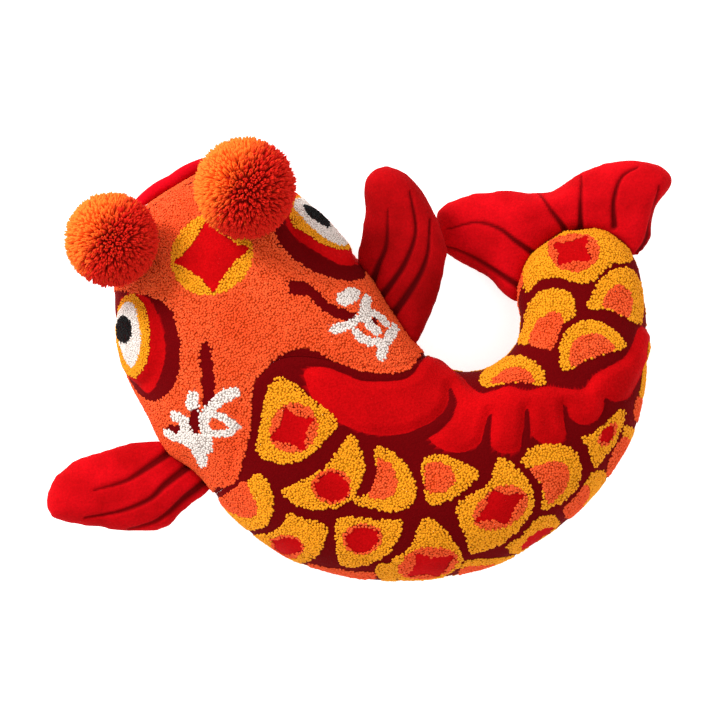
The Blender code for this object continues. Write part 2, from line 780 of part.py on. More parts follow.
def build():
    clear_scene()
    orange = material("orange_loop_pile", (0.88, 0.12, 0.025))
    maroon = material("maroon_cut_pile", (0.14, 0.0, 0.002))
    red = material("red_velvet", (0.73, 0.0, 0.005))
    wool = material("polyester_fibre", (0.85, 0.85, 0.82))
    yarn = material("orange_acrylic_yarn", (1.0, 0.18, 0.01))
    thread = material("polyester_thread", (0.5, 0.05, 0.02))
    white = material("white_loop_pile", (0.78, 0.76, 0.74))
    nylon = material("maroon_nylon", (0.12, 0.0, 0.002), roughness=0.6)
    metal = material("painted_zinc", (0.18, 0.01, 0.01), roughness=0.35, metallic=1.0)
    cover = head_cover(orange)
    body_cover(maroon)
    panels = belly_panels(maroon)
    zip_slot(panels[0], maroon)
    fillings(wool)
    mouth_panel(orange)
    upper_lip(red)
    eye_pad("left_eye_pad", LEFT_EYE, white)
    eye_pad("right_eye_pad", RIGHT_EYE, white)
    left_fin(red, wool)
    right_fin(red, wool)
    tail_fin(red, wool)
    pompom("left", LEFT_POMPOM, LEFT_POMPOM_SEAT, cover, yarn, thread)
    pompom("right", RIGHT_POMPOM, RIGHT_POMPOM_SEAT, cover, yarn, thread)
    zip_tapes(nylon)
    zip_coil(nylon)
    zip_stops(metal)
    zip_works(metal)


build()
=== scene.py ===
"""Carp cushion: tufted covers, sewn fins, yarn pom-poms and a zip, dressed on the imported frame.

Plan outlines are in millimetres, +X right and +Y up, on the cushion seen from above.
"""

import math

import bmesh
import bpy
import numpy as np
from mathutils import Matrix, Vector, kdtree, noise


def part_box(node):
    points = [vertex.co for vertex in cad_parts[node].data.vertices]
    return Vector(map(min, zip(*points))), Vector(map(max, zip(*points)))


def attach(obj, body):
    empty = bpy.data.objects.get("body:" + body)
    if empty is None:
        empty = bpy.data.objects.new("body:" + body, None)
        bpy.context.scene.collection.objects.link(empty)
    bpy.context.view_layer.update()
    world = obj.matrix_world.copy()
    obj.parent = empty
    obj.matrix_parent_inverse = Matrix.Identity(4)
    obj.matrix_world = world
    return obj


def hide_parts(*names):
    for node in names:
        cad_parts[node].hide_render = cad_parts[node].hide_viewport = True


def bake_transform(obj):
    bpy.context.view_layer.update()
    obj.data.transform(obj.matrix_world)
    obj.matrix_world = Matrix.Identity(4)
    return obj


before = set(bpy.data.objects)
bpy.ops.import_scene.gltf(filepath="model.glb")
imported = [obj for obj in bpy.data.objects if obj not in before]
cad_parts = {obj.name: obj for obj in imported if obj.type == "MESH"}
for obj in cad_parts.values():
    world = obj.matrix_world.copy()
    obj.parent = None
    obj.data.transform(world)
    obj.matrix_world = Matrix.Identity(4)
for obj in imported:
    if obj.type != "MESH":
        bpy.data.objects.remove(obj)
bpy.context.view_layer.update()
MM = 0.001

# ------------------------------------------------------------------ shape of the stuffed body

HEIGHT = 134.0  # thickest rib
WIDEST_SHARE, CROWN_POWER, CORNER_SHARE, CORNER_ROUND = 0.40, 2.3, 0.26, 7.0
SEAM_ANGLE = 50.0  # degrees below the widest line, where the belly cloth is sewn on
GILL_START, GILL_TONGUE = 6.5, 2.0
FOLD = 25.0  # degrees: below this, a pattern runs down the side instead of seen from above
RIM = 6.0  # degrees: a shape that ends this near the widest line gets a rounded end below it

# ribs from mouth to tail root: outer edge, inner edge, share of HEIGHT
RIBS = (
    ((-204, 129), (-126, 176), 0.46), ((-218, 96), (-95, 170), 0.64), ((-222, 46), (-54, 147), 0.85),
    ((-214, -6), (-19, 110), 0.95), ((-194, -47), (10, 75), 0.99), ((-175, -82), (32, 41), 1.00),
    ((-147, -104), (51, 13), 0.99), ((-116, -142), (66, 2), 0.98), ((-68, -177), (77, -5), 0.97),
    ((-10, -195), (89, -9), 0.97), ((53, -198), (101, -9), 0.97), ((116, -186), (112, -7), 0.95),
    ((175, -154), (124, -1), 0.90), ((218, -113), (135, 8), 0.83), ((246, -66), (142, 22), 0.76),
    ((257, -16), (144, 38), 0.68), ((258, 31), (142, 53), 0.61), ((254, 72), (143, 71), 0.54),
    ((244, 100), (152, 93), 0.48), ((227, 114), (169, 108), 0.42), ((213, 119), (182, 117), 0.35),
)
LAST_RIB = len(RIBS) - 1.0
OUTER = np.array([rib[0] for rib in RIBS], float)
INNER = np.array([rib[1] for rib in RIBS], float)
TALL = np.array([[rib[2] * HEIGHT] for rib in RIBS])
EYES = ((2.75, 30.0, 0.72, 22.0), (2.85, 156.0, 0.72, 22.0))  # rib, angle and reach of each raised eye
EYE_RISE = 4.5


def between(values, u):
    """Catmull-Rom curve through rows of values, read at positions u."""
    i = np.clip(u.astype(int), 0, len(values) - 2)
    f = (u - i)[:, None]
    a, b, c, d = (values[np.clip(i + k, 0, len(values) - 1)] for k in (-1, 0, 1, 2))
    return 0.5 * (2 * b + (c - a) * f + (2 * a - 5 * b + 4 * c - d) * f**2 + (3 * b - a - 3 * c + d) * f**3)


def ribs_at(u):
    """Middle, direction across, half width, height, widest line and lower corner at positions u."""
    outer, inner, high = between(OUTER, u), between(INNER, u), between(TALL, u)[:, 0]
    half = np.linalg.norm(outer - inner, axis=1) / 2
    across = (outer - inner) / (2 * half[:, None])
    widest = WIDEST_SHARE * high
    corner = np.minimum(np.maximum(CORNER_SHARE * half, np.sqrt(CORNER_ROUND * widest)), half)
    return (outer + inner) / 2, across, half, high, widest, corner


def section(t, half, high, widest, corner):
    """Place across and height on a rib's section, t degrees from the outer edge over the back."""
    side = np.where(t > 90, -1.0, 1.0)
    t = np.radians(np.where(t > 90, 180 - t, t))
    c, s = np.cos(t), np.sin(t)
    over = np.maximum(c, 0) ** (2 / CROWN_POWER) * half
    up = widest + np.abs(s) ** (2 / CROWN_POWER) * (high - widest)
    below = t < 0
    x = np.where(below, half - corner + corner * c, over)
    return side * x, np.where(below, widest * (1 + s), up)


def skin_points(u, t):
    middle, across, *rest = ribs_at(u)
    x, z = section(t, *rest)
    return np.column_stack([middle + across * x[:, None], z])


def pattern_points(u, t):
    """Plan place of the surface, opened out flat down the sides below the fold."""
    middle, across, *rest = ribs_at(u)
    low = (t < FOLD) | (t > 180 - FOLD)
    top = np.where(low, np.where(t > 90, 180 - FOLD, FOLD), t)
    x, z = section(top, *rest)
    length = np.zeros_like(x)
    for k in range(1, 17):
        nx, nz = section(top + (t - top) * k / 16, *rest)
        length += np.hypot(nx - x, nz - z)
        x, z = nx, nz
    x0, _ = section(top, *rest)
    return middle + across * (x0 + np.sign(x0) * length)[:, None]


def gill(t):
    """The rib where the gill seam runs, t degrees over the back."""
    s = np.sin(np.radians(np.clip(t, 0, 180)))
    return GILL_START - GILL_TONGUE * s**6


# ------------------------------------------------------------------ tufted pattern

HEAD_FIELD = (
    (-131, -114), (-122, -114), (-112, -108), (-106, -94), (-100, -72), (-97, -54), (-97, -32), (-94, -18),
    (-86, -9), (-77, 0), (-64, 8), (-50, 10), (-37, 6), (-19, -3), (-1, -9), (17, -12), (35, -11), (46, -6),
    (52, 3), (57, 9),
)
HEAD_SURROUND = ((126, 50), (280, 200), (-280, 330), (-380, -60), (-205, -165), (-150, -130))

# each shape's paint and outline, as x, y, x, y and so on; later shapes lie over earlier ones
CARP_PATTERN = (
    # left eye, from its rim inwards
    ("maroon", (-224, 62, -205, 60, -188, 57, -172, 48, -164, 28, -161, 5, -165, -18, -175, -33, -188, -37, -200,
        -30, -212, -12, -221, 15, -225, 40)),
    ("red", (-205, 60, -192, 56, -184, 45, -177, 25, -175, 3, -180, -15, -189, -29, -199, -24, -208, -10, -216,
        10, -219, 40, -215, 56)),
    ("yellow", (-208, 59, -200, 57, -192, 45, -187, 25, -187, 5, -192, -8, -200, -15, -208, -9, -214, 6, -218, 25,
        -219, 45, -214, 56)),
    ("white", (-208, 52, -201, 48, -196, 33, -194, 15, -197, 0, -202, -6, -208, 1, -214, 17, -217, 35, -214, 47)),
    ("black", (-209, 40, -204, 36, -202, 27, -204, 18, -210, 15, -215, 19, -217, 28, -214, 37)),
    # right eye
    ("maroon", (-76, 117, -71, 103, -58, 90, -42, 79, -22, 73, -5, 71, 3, 74, 4, 82, 0, 92, -16, 108, -28, 124,
        -40, 139, -54, 150, -68, 136)),
    ("red", (-66, 121, -60, 112, -48, 101, -33, 91, -18, 85, -4, 86, 1, 91, -14, 107, -28, 124, -40, 139, -54,
        149, -66, 136)),
    ("yellow", (-64, 134, -61, 121, -50, 111, -38, 103, -25, 98, -13, 97, -8, 101, -20, 115, -30, 127, -40, 139,
        -54, 149, -62, 143)),
    ("white", (-60, 137, -55, 126, -45, 116, -32, 106, -20, 101, -12, 103, -21, 115, -30, 127, -39, 138, -52, 147,
        -58, 144)),
    ("black", (-53, 135, -49, 127, -41, 121, -33, 117, -30, 119, -33, 127, -41, 133, -49, 137)),
    # coin on the forehead
    ("yellow", (-139, 131, -153, 124, -164, 112, -170, 97, -169, 83, -161, 68, -147, 59, -130, 58, -115, 64, -103,
        75, -96, 90, -97, 102, -105, 113, -121, 126)),
    ("red", (-138, 125, -145, 114, -153, 103, -160, 94, -168, 87, -158, 83, -147, 76, -138, 68, -131, 60, -126,
        69, -119, 79, -110, 90, -99, 100, -110, 104, -121, 110, -131, 118)),
    # whisker strokes
    ("maroon", (-64, 69, -56, 71, -46, 68, -36, 59, -24, 49, -10, 44, -3, 41, -4, 35, -14, 36, -26, 40, -38, 48,
        -48, 57, -56, 58, -63, 60)),
    ("maroon", (-142, 13, -137, 16, -134, 7, -131, -9, -130, -26, -134, -42, -140, -42, -141, -26, -142, -10,
        -144, 2)),
    # scales
    ("yellow", (-73, -15, -64, -18, -46, -32, -21, -54, -32, -72, -48, -86, -64, -92, -82, -90, -93, -81, -90,
        -59, -86, -36, -82, -23)),
    ("orange", (-60, -38, -45, -43, -38, -56, -42, -72, -54, -82, -68, -82, -79, -74, -81, -60, -74, -44)),
    ("red", (-68, -42, -60, -48, -50, -51, -41, -51, -47, -60, -49, -70, -51, -81, -60, -76, -70, -73, -81, -70,
        -74, -61, -70, -52)),
    ("yellow", (-10, -66, -3, -72, 2, -86, 3, -99, -1, -113, -8, -124, -21, -132, -37, -134, -55, -131, -68, -123,
        -70, -116, -62, -111, -46, -104, -32, -95, -21, -81)),
    ("orange", (-25, -97, -14, -100, -9, -110, -12, -122, -22, -128, -34, -127, -42, -120, -44, -110, -37, -101)),
    ("red", (-27, -99, -13, -107, -12, -120, -25, -126, -37, -121, -42, -112, -34, -104)),
    ("yellow", (15, -77, 26, -80, 40, -92, 46, -104, 50, -117, 46, -128, 35, -134, 22, -135, 8, -132, -5, -128,
        -6, -124, 6, -118, 13, -104, 13, -90, 11, -79)),
    ("orange", (15, -88, 26, -92, 32, -104, 31, -117, 22, -123, 6, -123, 10, -113, 14, -99)),
    ("yellow", (60, -84, 76, -85, 94, -92, 106, -100, 98, -110, 85, -121, 67, -129, 59, -126, 56, -113, 54, -95)),
    ("orange", (60, -91, 74, -92, 83, -100, 82, -111, 72, -118, 60, -117, 56, -103)),
    ("yellow", (123, -86, 134, -92, 148, -106, 154, -122, 152, -137, 143, -149, 130, -162, 116, -169, 98, -173,
        95, -162, 89, -149, 85, -137, 87, -126, 98, -119, 112, -111, 118, -99)),
    ("orange", (123, -112, 139, -113, 148, -122, 146, -136, 134, -147, 119, -152, 103, -148, 100, -138, 107,
        -124)),
    ("red", (116, -117, 130, -120, 146, -119, 138, -131, 131, -146, 118, -143, 102, -144, 111, -131)),
    ("yellow", (157, -76, 170, -75, 184, -77, 195, -86, 197, -99, 194, -113, 184, -124, 170, -132, 163, -135, 161,
        -129, 162, -117, 157, -106, 150, -97, 142, -91, 145, -86, 150, -79)),
    ("orange", (160, -93, 173, -90, 184, -94, 186, -106, 180, -118, 169, -128, 165, -122, 160, -110, 151, -98)),
    ("yellow", (235, -44, 237, -51, 233, -63, 226, -77, 218, -87, 210, -96, 206, -88, 202, -77, 197, -70, 206,
        -66, 220, -54, 229, -46)),
    ("orange", (227, -55, 229, -62, 223, -74, 214, -77, 211, -70, 218, -62)),
    ("red", (221, -58, 227, -63, 221, -74, 213, -70)),
    ("yellow", (-64, -137, -50, -142, -37, -145, -30, -149, -32, -162, -37, -173, -44, -180, -55, -182, -70, -179,
        -84, -172, -101, -161, -95, -158, -80, -154, -70, -146)),
    ("orange", (-68, -157, -56, -160, -51, -168, -56, -177, -68, -178, -80, -170, -80, -161)),
    ("red", (-68, -159, -56, -162, -54, -171, -64, -176, -76, -172, -78, -163)),
    ("yellow", (-19, -140, -1, -140, 17, -142, 35, -142, 37, -149, 32, -162, 24, -173, 10, -182, -8, -185, -19,
        -182, -22, -167, -23, -153)),
    ("orange", (1, -146, 14, -149, 19, -158, 14, -169, 0, -174, -12, -169, -16, -158, -10, -149)),
    ("red", (0, -149, 14, -153, 14, -164, 2, -172, -11, -168, -14, -158, -8, -152)),
    ("yellow", (57, -140, 67, -144, 80, -158, 89, -171, 91, -180, 85, -189, 71, -196, 49, -198, 33, -197, 27,
        -190, 24, -183, 31, -176, 44, -167, 49, -153)),
    ("orange", (35, -182, 46, -170, 62, -167, 80, -170, 87, -179, 80, -190, 66, -196, 44, -196, 34, -191)),
    ("red", (50, -173, 66, -176, 83, -175, 78, -184, 71, -195, 58, -193, 41, -195, 48, -184)),
    ("yellow", (-94, -101, -86, -104, -80, -115, -77, -126, -80, -140, -86, -149, -100, -153, -112, -151, -122,
        -143, -129, -132, -115, -120, -103, -110)),
    ("orange", (-104, -109, -98, -118, -93, -131, -95, -140, -104, -142, -120, -136, -130, -128, -116, -117)),
    ("orange", (-46, -183, -28, -187, -8, -189, 10, -190, 13, -196, -4, -197, -26, -193, -44, -188)),
    ("yellow", (14, -184, 24, -183, 31, -192, 32, -199, 21, -199, 14, -192)),
    ("yellow", (92, -181, 110, -179, 128, -177, 139, -175, 126, -184, 108, -189, 90, -193)),
    ("orange", (91, -187, 106, -185, 120, -183, 108, -189, 90, -194)),
    ("yellow", (130, -167, 143, -158, 152, -147, 160, -141, 172, -139, 178, -146, 172, -155, 155, -166, 140,
        -174)),
    ("red", (142, -170, 152, -158, 166, -151, 174, -152, 160, -163, 148, -170)),
    ("yellow", (205, -103, 215, -99, 222, -103, 217, -115, 207, -126, 196, -136, 196, -120)),
    ("orange", (181, -133, 190, -124, 200, -112, 206, -117, 204, -127, 195, -139, 186, -143)),
    ("yellow", (236, -60, 243, -61, 247, -66, 242, -78, 236, -76)),
    ("orange", (231, -73, 239, -69, 241, -80, 233, -98, 222, -106, 222, -95)),
    ("orange", (247, -36, 251, -33, 254, -42, 249, -56, 245, -50)),
    ("yellow", (256, 14, 258, 12, 258, -14, 254, -34, 251, -30, 254, -10)),
    ("yellow", (149, 61, 146, 74, 148, 88, 153, 98, 165, 110, 180, 118, 200, 121, 220, 117, 234, 108, 245, 97,
        243, 89, 229, 87, 218, 80, 209, 72, 196, 69, 182, 73, 168, 74, 158, 70)),
    ("orange", (172, 110, 190, 115, 208, 112, 215, 101, 211, 88, 197, 80, 182, 81, 171, 90, 168, 100)),
    ("red", (173, 106, 188, 108, 204, 113, 203, 101, 206, 90, 192, 89, 178, 86, 177, 96)),
    ("yellow", (203, 47, 208, 60, 215, 72, 227, 82, 240, 84, 250, 76, 255, 62, 255, 45, 251, 32, 238, 38, 224,
        44)),
    ("orange", (217, 48, 222, 62, 232, 68, 241, 64, 245, 52, 241, 38, 232, 42, 224, 46)),
    ("yellow", (141, 15, 146, 30, 149, 48, 157, 59, 168, 64, 182, 63, 190, 58, 193, 46, 190, 38, 179, 31, 166, 22,
        154, 15)),
    ("orange", (151, 14, 154, 28, 160, 37, 170, 43, 179, 41, 181, 33, 176, 20, 171, 9, 160, 11)),
    ("yellow", (182, -10, 178, 0, 178, 15, 185, 27, 195, 34, 208, 36, 222, 31, 232, 22, 238, 11, 224, 7, 205, 1)),
    ("orange", (190, -6, 186, 4, 190, 15, 200, 22, 212, 24, 222, 18, 228, 10, 215, 5, 202, 0)),
    ("yellow", (106, -18, 108, -11, 117, -4, 128, 2, 140, 4, 152, 1, 161, -7, 165, -19, 161, -22, 140, -20, 118,
        -23, 110, -24)),
    ("orange", (117, -21, 122, -12, 132, -7, 142, -6, 150, -10, 154, -20, 135, -20)),
)
BACK_FIN = (
    (-50, -9), (-34, -6), (-18, -11), (0, -18), (20, -19), (38, -17), (48, -11), (55, 0), (62, 5), (75, -2),
    (88, -11), (97, -22), (107, -29), (118, -27), (132, -23), (148, -27), (165, -23), (182, -25), (198, -26),
    (208, -14), (222, -6), (236, 2), (244, 14), (250, 28), (258, 28), (259, 8), (254, -10), (247, -24),
    (240, -34), (228, -37), (218, -34), (216, -46), (207, -56), (194, -57), (185, -50), (184, -66), (176, -75),
    (163, -75), (151, -67), (146, -72), (139, -81), (127, -83), (117, -78), (112, -68), (104, -76), (90, -82),
    (74, -80), (62, -72), (56, -62), (40, -65), (25, -67), (8, -66), (-10, -60), (-28, -50), (-42, -36),
    (-48, -22),
)
# dark strokes in the back fin, and white and dark strokes on the cheeks: x, y, width along each
BACK_FIN_SLITS = (
    ((51, -67, 12), (65, -60, 11), (77, -49, 10), (82, -37, 8), (80, -26, 4)),
    ((115, -49, 4), (113, -60, 6), (111, -74, 9)),
    ((148, -45, 4), (148, -58, 6), (147, -74, 9)),
    ((182, -41, 4), (184, -52, 6), (187, -62, 9)),
)
CHEEK_STROKES = (
    ("white", ((-113, -29, 9), (-119, -31, 11), (-128, -37, 9), (-137, -45, 7))),
    ("white", ((-150, -33, 10), (-150, -41, 10), (-145, -50, 6))),
    ("white", ((-166, -50, 8), (-158, -54, 8), (-154, -62, 8))),
    ("white", ((-175, -66, 8), (-164, -68, 9), (-152, -72, 12), (-146, -78, 10))),
    ("white", ((-150, -75, 10), (-144, -84, 11), (-142, -92, 8))),
    ("white", ((-158, -55, 8), (-155, -66, 8), (-148, -70, 8))),
    ("white", ((-137, -45, 8), (-140, -56, 8), (-138, -70, 10), (-136, -80, 7))),
    ("white", ((-137, -47, 6), (-122, -52, 6), (-110, -60, 6), (-120, -66, 6), (-138, -66, 6))),
    ("maroon", ((-148, -47, 6), (-149, -55, 10), (-147, -63, 6))),
    ("maroon", ((-171, -61, 5), (-165, -62, 7))),
    ("white", ((-15, 55, 13), (-8, 58, 13))),
    ("white", ((5, 53, 9), (3, 42, 9))),
    ("white", ((3, 42, 6), (13, 41, 6), (24, 33, 6))),
    ("white", ((2, 40, 6), (-8, 33, 6), (-14, 30, 8), (-23, 27, 8))),
    ("white", ((5, 36, 6), (8, 30, 7), (14, 26, 8))),
    ("white", ((-5, 25, 6), (0, 19, 7), (9, 16, 7), (19, 16, 7))),
    ("white", ((33, 31, 9), (28, 24, 8), (21, 15, 8), (18, 4, 8))),
    ("maroon", ((12, 37, 4), (12, 34, 4))),
)
SIDE_SCALE, INNER_SHARE = 46.0, 0.6  # length of a scale low on the side, and its share inside the ring
SIDE_SHIFT = 0.12  # how far the row is shifted along, in scales
ROUND_SHARE, ROUND_MOST = 0.4, 16.0  # a rounded end's depth for its width, and the deepest one in mm
REACH = 12.0  # mm: distances from an outline are cut off here
PAINTS = {"maroon": 0, "orange": 1, "yellow": 2, "red": 3, "white": 4, "black": 5}
WHITE_SPREAD = 0.5  # mm that the white loops stand out past their strokes
LOOPED = (1, 2, 4, 5)  # the paints that stand up in loops; the others are sheared


def smooth_line(points, count=6):
    """An open line as points on a smooth curve."""
    return between(np.array(points, float), np.linspace(0, len(points) - 1.0, count * (len(points) - 1) + 1))


def smooth_loop(points, count=6):
    """A closed outline as points on a smooth curve."""
    p = np.array(points, float).reshape(-1, 2)
    wrapped = np.vstack([p[-1:], p, p[:2]])
    return between(wrapped, np.linspace(1, len(p) + 1.0, count * len(p), endpoint=False))


def within(points, outline):
    """Distance in mm from the outline, positive inside it."""
    result = np.full(len(points), -REACH)
    low, high = outline.min(0) - REACH, outline.max(0) + REACH
    near = np.where(((points > low) & (points < high)).all(1))[0]
    a, b = outline, np.roll(outline, -1, axis=0)
    run = b - a
    size = np.maximum((run**2).sum(1), 1e-9)
    for part in np.array_split(near, max(1, len(near) // 4000)):
        p = points[part][:, None, :]
        f = np.clip(((p - a) * run).sum(2) / size, 0, 1)
        gap = np.linalg.norm(p - a - f[..., None] * run, axis=2).min(1)
        crossed = (a[:, 1] > p[..., 1]) != (b[:, 1] > p[..., 1])
        rise = np.where(run[:, 1] == 0, 1e-9, run[:, 1])
        left = p[..., 0] < run[:, 0] * (p[..., 1] - a[:, 1]) / rise + a[:, 0]
        inside = (crossed & left).sum(1) % 2 == 1
        result[part] = np.where(inside, gap, -gap)
    return np.clip(result, -REACH, REACH)


def stroke(points, line):
    """Distance inside a stroke that widens and narrows along its line."""
    result = np.full(len(points), -REACH)
    for (ax, ay, aw), (bx, by, bw) in zip(line, line[1:]):
        a, run = np.array((ax, ay), float), np.array((bx - ax, by - ay), float)
        f = np.clip(((points - a) @ run) / (run @ run), 0, 1)
        gap = np.linalg.norm(points - a - f[:, None] * run, axis=1)
        result = np.maximum(result, (aw + (bw - aw) * f) / 2 - gap)
    return result


class Opened:
    """Turns plan outlines into the pattern's own flat, which runs on down the sides."""

    def __init__(self):
        u, t = np.meshgrid(np.linspace(0, LAST_RIB, 401), np.linspace(0, 180, 241), indexing="ij")
        u, t = u.ravel(), t.ravel()
        self.flat = pattern_points(u, t)
        self.low = (t < FOLD) | (t > 180 - FOLD)
        self.rim = (t < RIM) | (t > 180 - RIM)
        self.out = ribs_at(u)[1] * np.where(t > 90, -1.0, 1.0)[:, None]
        self.tree = kdtree.KDTree(len(u))
        for i, p in enumerate(skin_points(u, t)):
            self.tree.insert((p[0], p[1], 0.0), i)
        self.tree.balance()

    def outline(self, points, round_end=False):
        """The outline in the flat; round_end bulges out the part that lies along the widest line."""
        result, nearest = [], []
        for p in points:
            _, i, gap = self.tree.find((p[0], p[1], 0.0))
            result.append(self.flat[i] if self.low[i] or gap > 3 else p)
            nearest.append(i)
        result = np.array(result)
        cut = self.rim[nearest]
        if round_end and cut.any() and not cut.all():
            first = next(n for n in range(len(cut)) if cut[n] and not cut[n - 1])
            run = [(first + n) % len(cut) for n in range(len(cut)) if cut[(first + n) % len(cut)]]
            width = np.linalg.norm(result[run[-1]] - result[run[0]])
            arc = np.sqrt(np.sin(np.linspace(0, math.pi, len(run))))
            depth = min(ROUND_SHARE * width, ROUND_MOST)
            result[run] += self.out[nearest][run] * (depth * arc)[:, None]
        return result


OPENED = Opened()
HEAD_OUTLINE = np.vstack([OPENED.outline(smooth_line(HEAD_FIELD)), np.array(HEAD_SURROUND, float)])
SHAPES = [(name, OPENED.outline(smooth_loop(shape), True)) for name, shape in CARP_PATTERN]
BACK_FIN_OUTLINE = OPENED.outline(smooth_loop(BACK_FIN), True)


def paint(flat):
    """The paint of each place of the pattern, and its depth inside the red fields in mm."""
    colour = np.zeros(len(flat), int)
    red = np.full(len(flat), -REACH)

    def lay(name, depth):
        nonlocal red
        colour[depth > 0] = PAINTS[name]
        red = np.maximum(red, depth) if name == "red" else np.minimum(red, -depth)

    lay("orange", within(flat, HEAD_OUTLINE))
    lay("red", within(flat, BACK_FIN_OUTLINE))
    for line in BACK_FIN_SLITS:
        lay("maroon", stroke(flat, line))
    for name, outline in SHAPES:
        lay(name, within(flat, outline))
    for name, line in CHEEK_STROKES:
        lay(name, stroke(flat, line) + (WHITE_SPREAD if name == "white" else 0.0))
    return colour, red


def side_scales(u, t, colour, red):
    """Scales in a row below the widest line of the body, outside and inside the ring."""
    steps = np.linspace(0, LAST_RIB, 401)
    for edge, side in ((OUTER, 1), (INNER, -1)):
        line = between(edge, steps)
        run = np.concatenate([[0], np.cumsum(np.linalg.norm(np.diff(line, axis=0), axis=1))])
        drop = -t if side > 0 else t - 180
        there = (drop > 1) & (u > gill(t) + 0.15)  # below the widest line and behind the gill
        _, _, _, _, widest, corner = ribs_at(u[there])
        high = np.radians(drop[there]) * (widest + corner) / 2
        whole = np.radians(SEAM_ANGLE) * (widest + corner) / 2
        pitch = SIDE_SCALE if side > 0 else SIDE_SCALE * INNER_SHARE
        shifted = np.interp(u[there], steps, run) + SIDE_SHIFT * pitch
        along, number = shifted % pitch - pitch / 2, shifted // pitch
        lift = high - 0.58 * whole
        depth = 0.43 * pitch - np.sqrt(along**2 + (lift * 1.02 * pitch / np.maximum(whole, 1)) ** 2)
        depth -= 0.1 * np.abs(lift) * np.sign(-along)
        diamond = np.where(number % 2 == 0, 0.15 * pitch - (np.abs(along) + np.abs(lift)) * 0.7, -5.0)
        mine = (depth > -3.0) | (high > 0.55 * whole)  # above and between, the upper scales show
        there[there] = mine
        depth, diamond = depth[mine], diamond[mine]
        tint = np.where(depth > 0, PAINTS["yellow"], 0)
        tint = np.where(depth > 0.15 * pitch, PAINTS["orange"], tint)
        tint = np.where(diamond > 0, PAINTS["red"], tint)
        colour[there] = tint
        red[there] = np.clip(diamond, -REACH, REACH)


# ------------------------------------------------------------------ materials

# the looped paints' tones here are the cloth seen between loops: partly the backing's own colour, partly painted
# shade between the loops
HEXES = {
    "orange": "CC4212", "yellow": "CE880C", "white": "CCC0B8", "black": "0B0A0A", "red": "B4030A",
    "maroon": "640104",
}


def linear(code):
    """An sRGB hex value as a linear colour."""
    parts = [int(code[i : i + 2], 16) / 255 for i in (0, 2, 4)]
    return [c / 12.92 if c <= 0.04045 else ((c + 0.055) / 1.055) ** 2.4 for c in parts] + [1.0]


def add(tree, kind, settings=None, inputs=None):
    """A node with its settings, and each input set or linked."""
    made = tree.nodes.new(kind)
    for key, value in (settings or {}).items():
        setattr(made, key, value)
    for key, value in (inputs or {}).items():
        socket = made.inputs[key]
        if isinstance(value, bpy.types.NodeSocket):
            tree.links.new(value, socket)
        else:
            socket.default_value = value
    return made


def new_material(name, roughness, sheen=0.0, tint=None, metallic=0.0):
    mat = bpy.data.materials.new(name)
    mat.use_nodes = True
    shader = mat.node_tree.nodes["Principled BSDF"]
    shader.inputs["Roughness"].default_value = roughness
    shader.inputs["Metallic"].default_value = metallic
    shader.inputs["Sheen Weight"].default_value = sheen
    shader.inputs["Sheen Roughness"].default_value = 0.45
    shader.inputs["Specular IOR Level"].default_value = 0.2
    if tint:
        shader.inputs["Sheen Tint"].default_value = linear(tint)
    return mat, mat.node_tree, shader


def mix(tree, factor, first, second):
    made = add(tree, "ShaderNodeMix", {"data_type": "RGBA"})
    for socket, value in ((made.inputs[0], factor), (made.inputs[6], first), (made.inputs[7], second)):
        if isinstance(value, bpy.types.NodeSocket):
            tree.links.new(value, socket)
        else:
            socket.default_value = value
    return made.outputs[2]


def arithmetic(tree, operation, *values, clamp=False):
    settings = {"operation": operation, "use_clamp": clamp}
    return add(tree, "ShaderNodeMath", settings, dict(enumerate(values))).outputs[0]


def mottle(tree, scale, detail=2.0):
    """Soft noise on the piece's own coordinates; scale is in patches per metre."""
    place = add(tree, "ShaderNodeTexCoord").outputs["Object"]
    settings = {"Vector": place, "Scale": scale, "Detail": detail, "Roughness": 0.55}
    return add(tree, "ShaderNodeTexNoise", None, settings).outputs["Fac"]


def bump(tree, shader, height, distance, strength=1.0):
    made = add(tree, "ShaderNodeBump", None, {"Height": height, "Distance": distance, "Strength": strength})
    tree.links.new(made.outputs["Normal"], shader.inputs["Normal"])


def attribute(tree, name, output="Fac"):
    return add(tree, "ShaderNodeAttribute", {"attribute_name": name}).outputs[output]


def ramp(tree, value, low, high, start=0.0, end=1.0):
    settings = {"Value": value, "From Min": low, "From Max": high, "To Min": start, "To Max": end}
    return add(tree, "ShaderNodeMapRange", None, settings).outputs["Result"]


def loop_pile(name, root, body, tip):
    """Tufted loops of acrylic yarn, dull all over: painted shade darkens each loop towards its foot, between the
    loops, and leaves their tops bright.
    """
    mat, tree, shader = new_material(name, 0.9, 0.0 if name.startswith("black") else 0.08, tip)
    # painted shade: the root colour darkens each loop's lower part, where the shade between loops falls
    deep = mix(tree, ramp(tree, attribute(tree, "tip"), 0.15, 0.7), linear(root), linear(body))
    worn = arithmetic(tree, "MULTIPLY_ADD", mottle(tree, 22.0, 3.0), 1.3, -0.4)
    own = ramp(tree, attribute(tree, "shade"), 0.1, 1.0, 0.35, 1.0)
    light = arithmetic(tree, "MULTIPLY", own, worn, clamp=True)
    tree.links.new(mix(tree, light, deep, linear(tip)), shader.inputs["Base Color"])
    bump(tree, shader, mottle(tree, 1500.0), 0.0003, 0.5)
    return mat


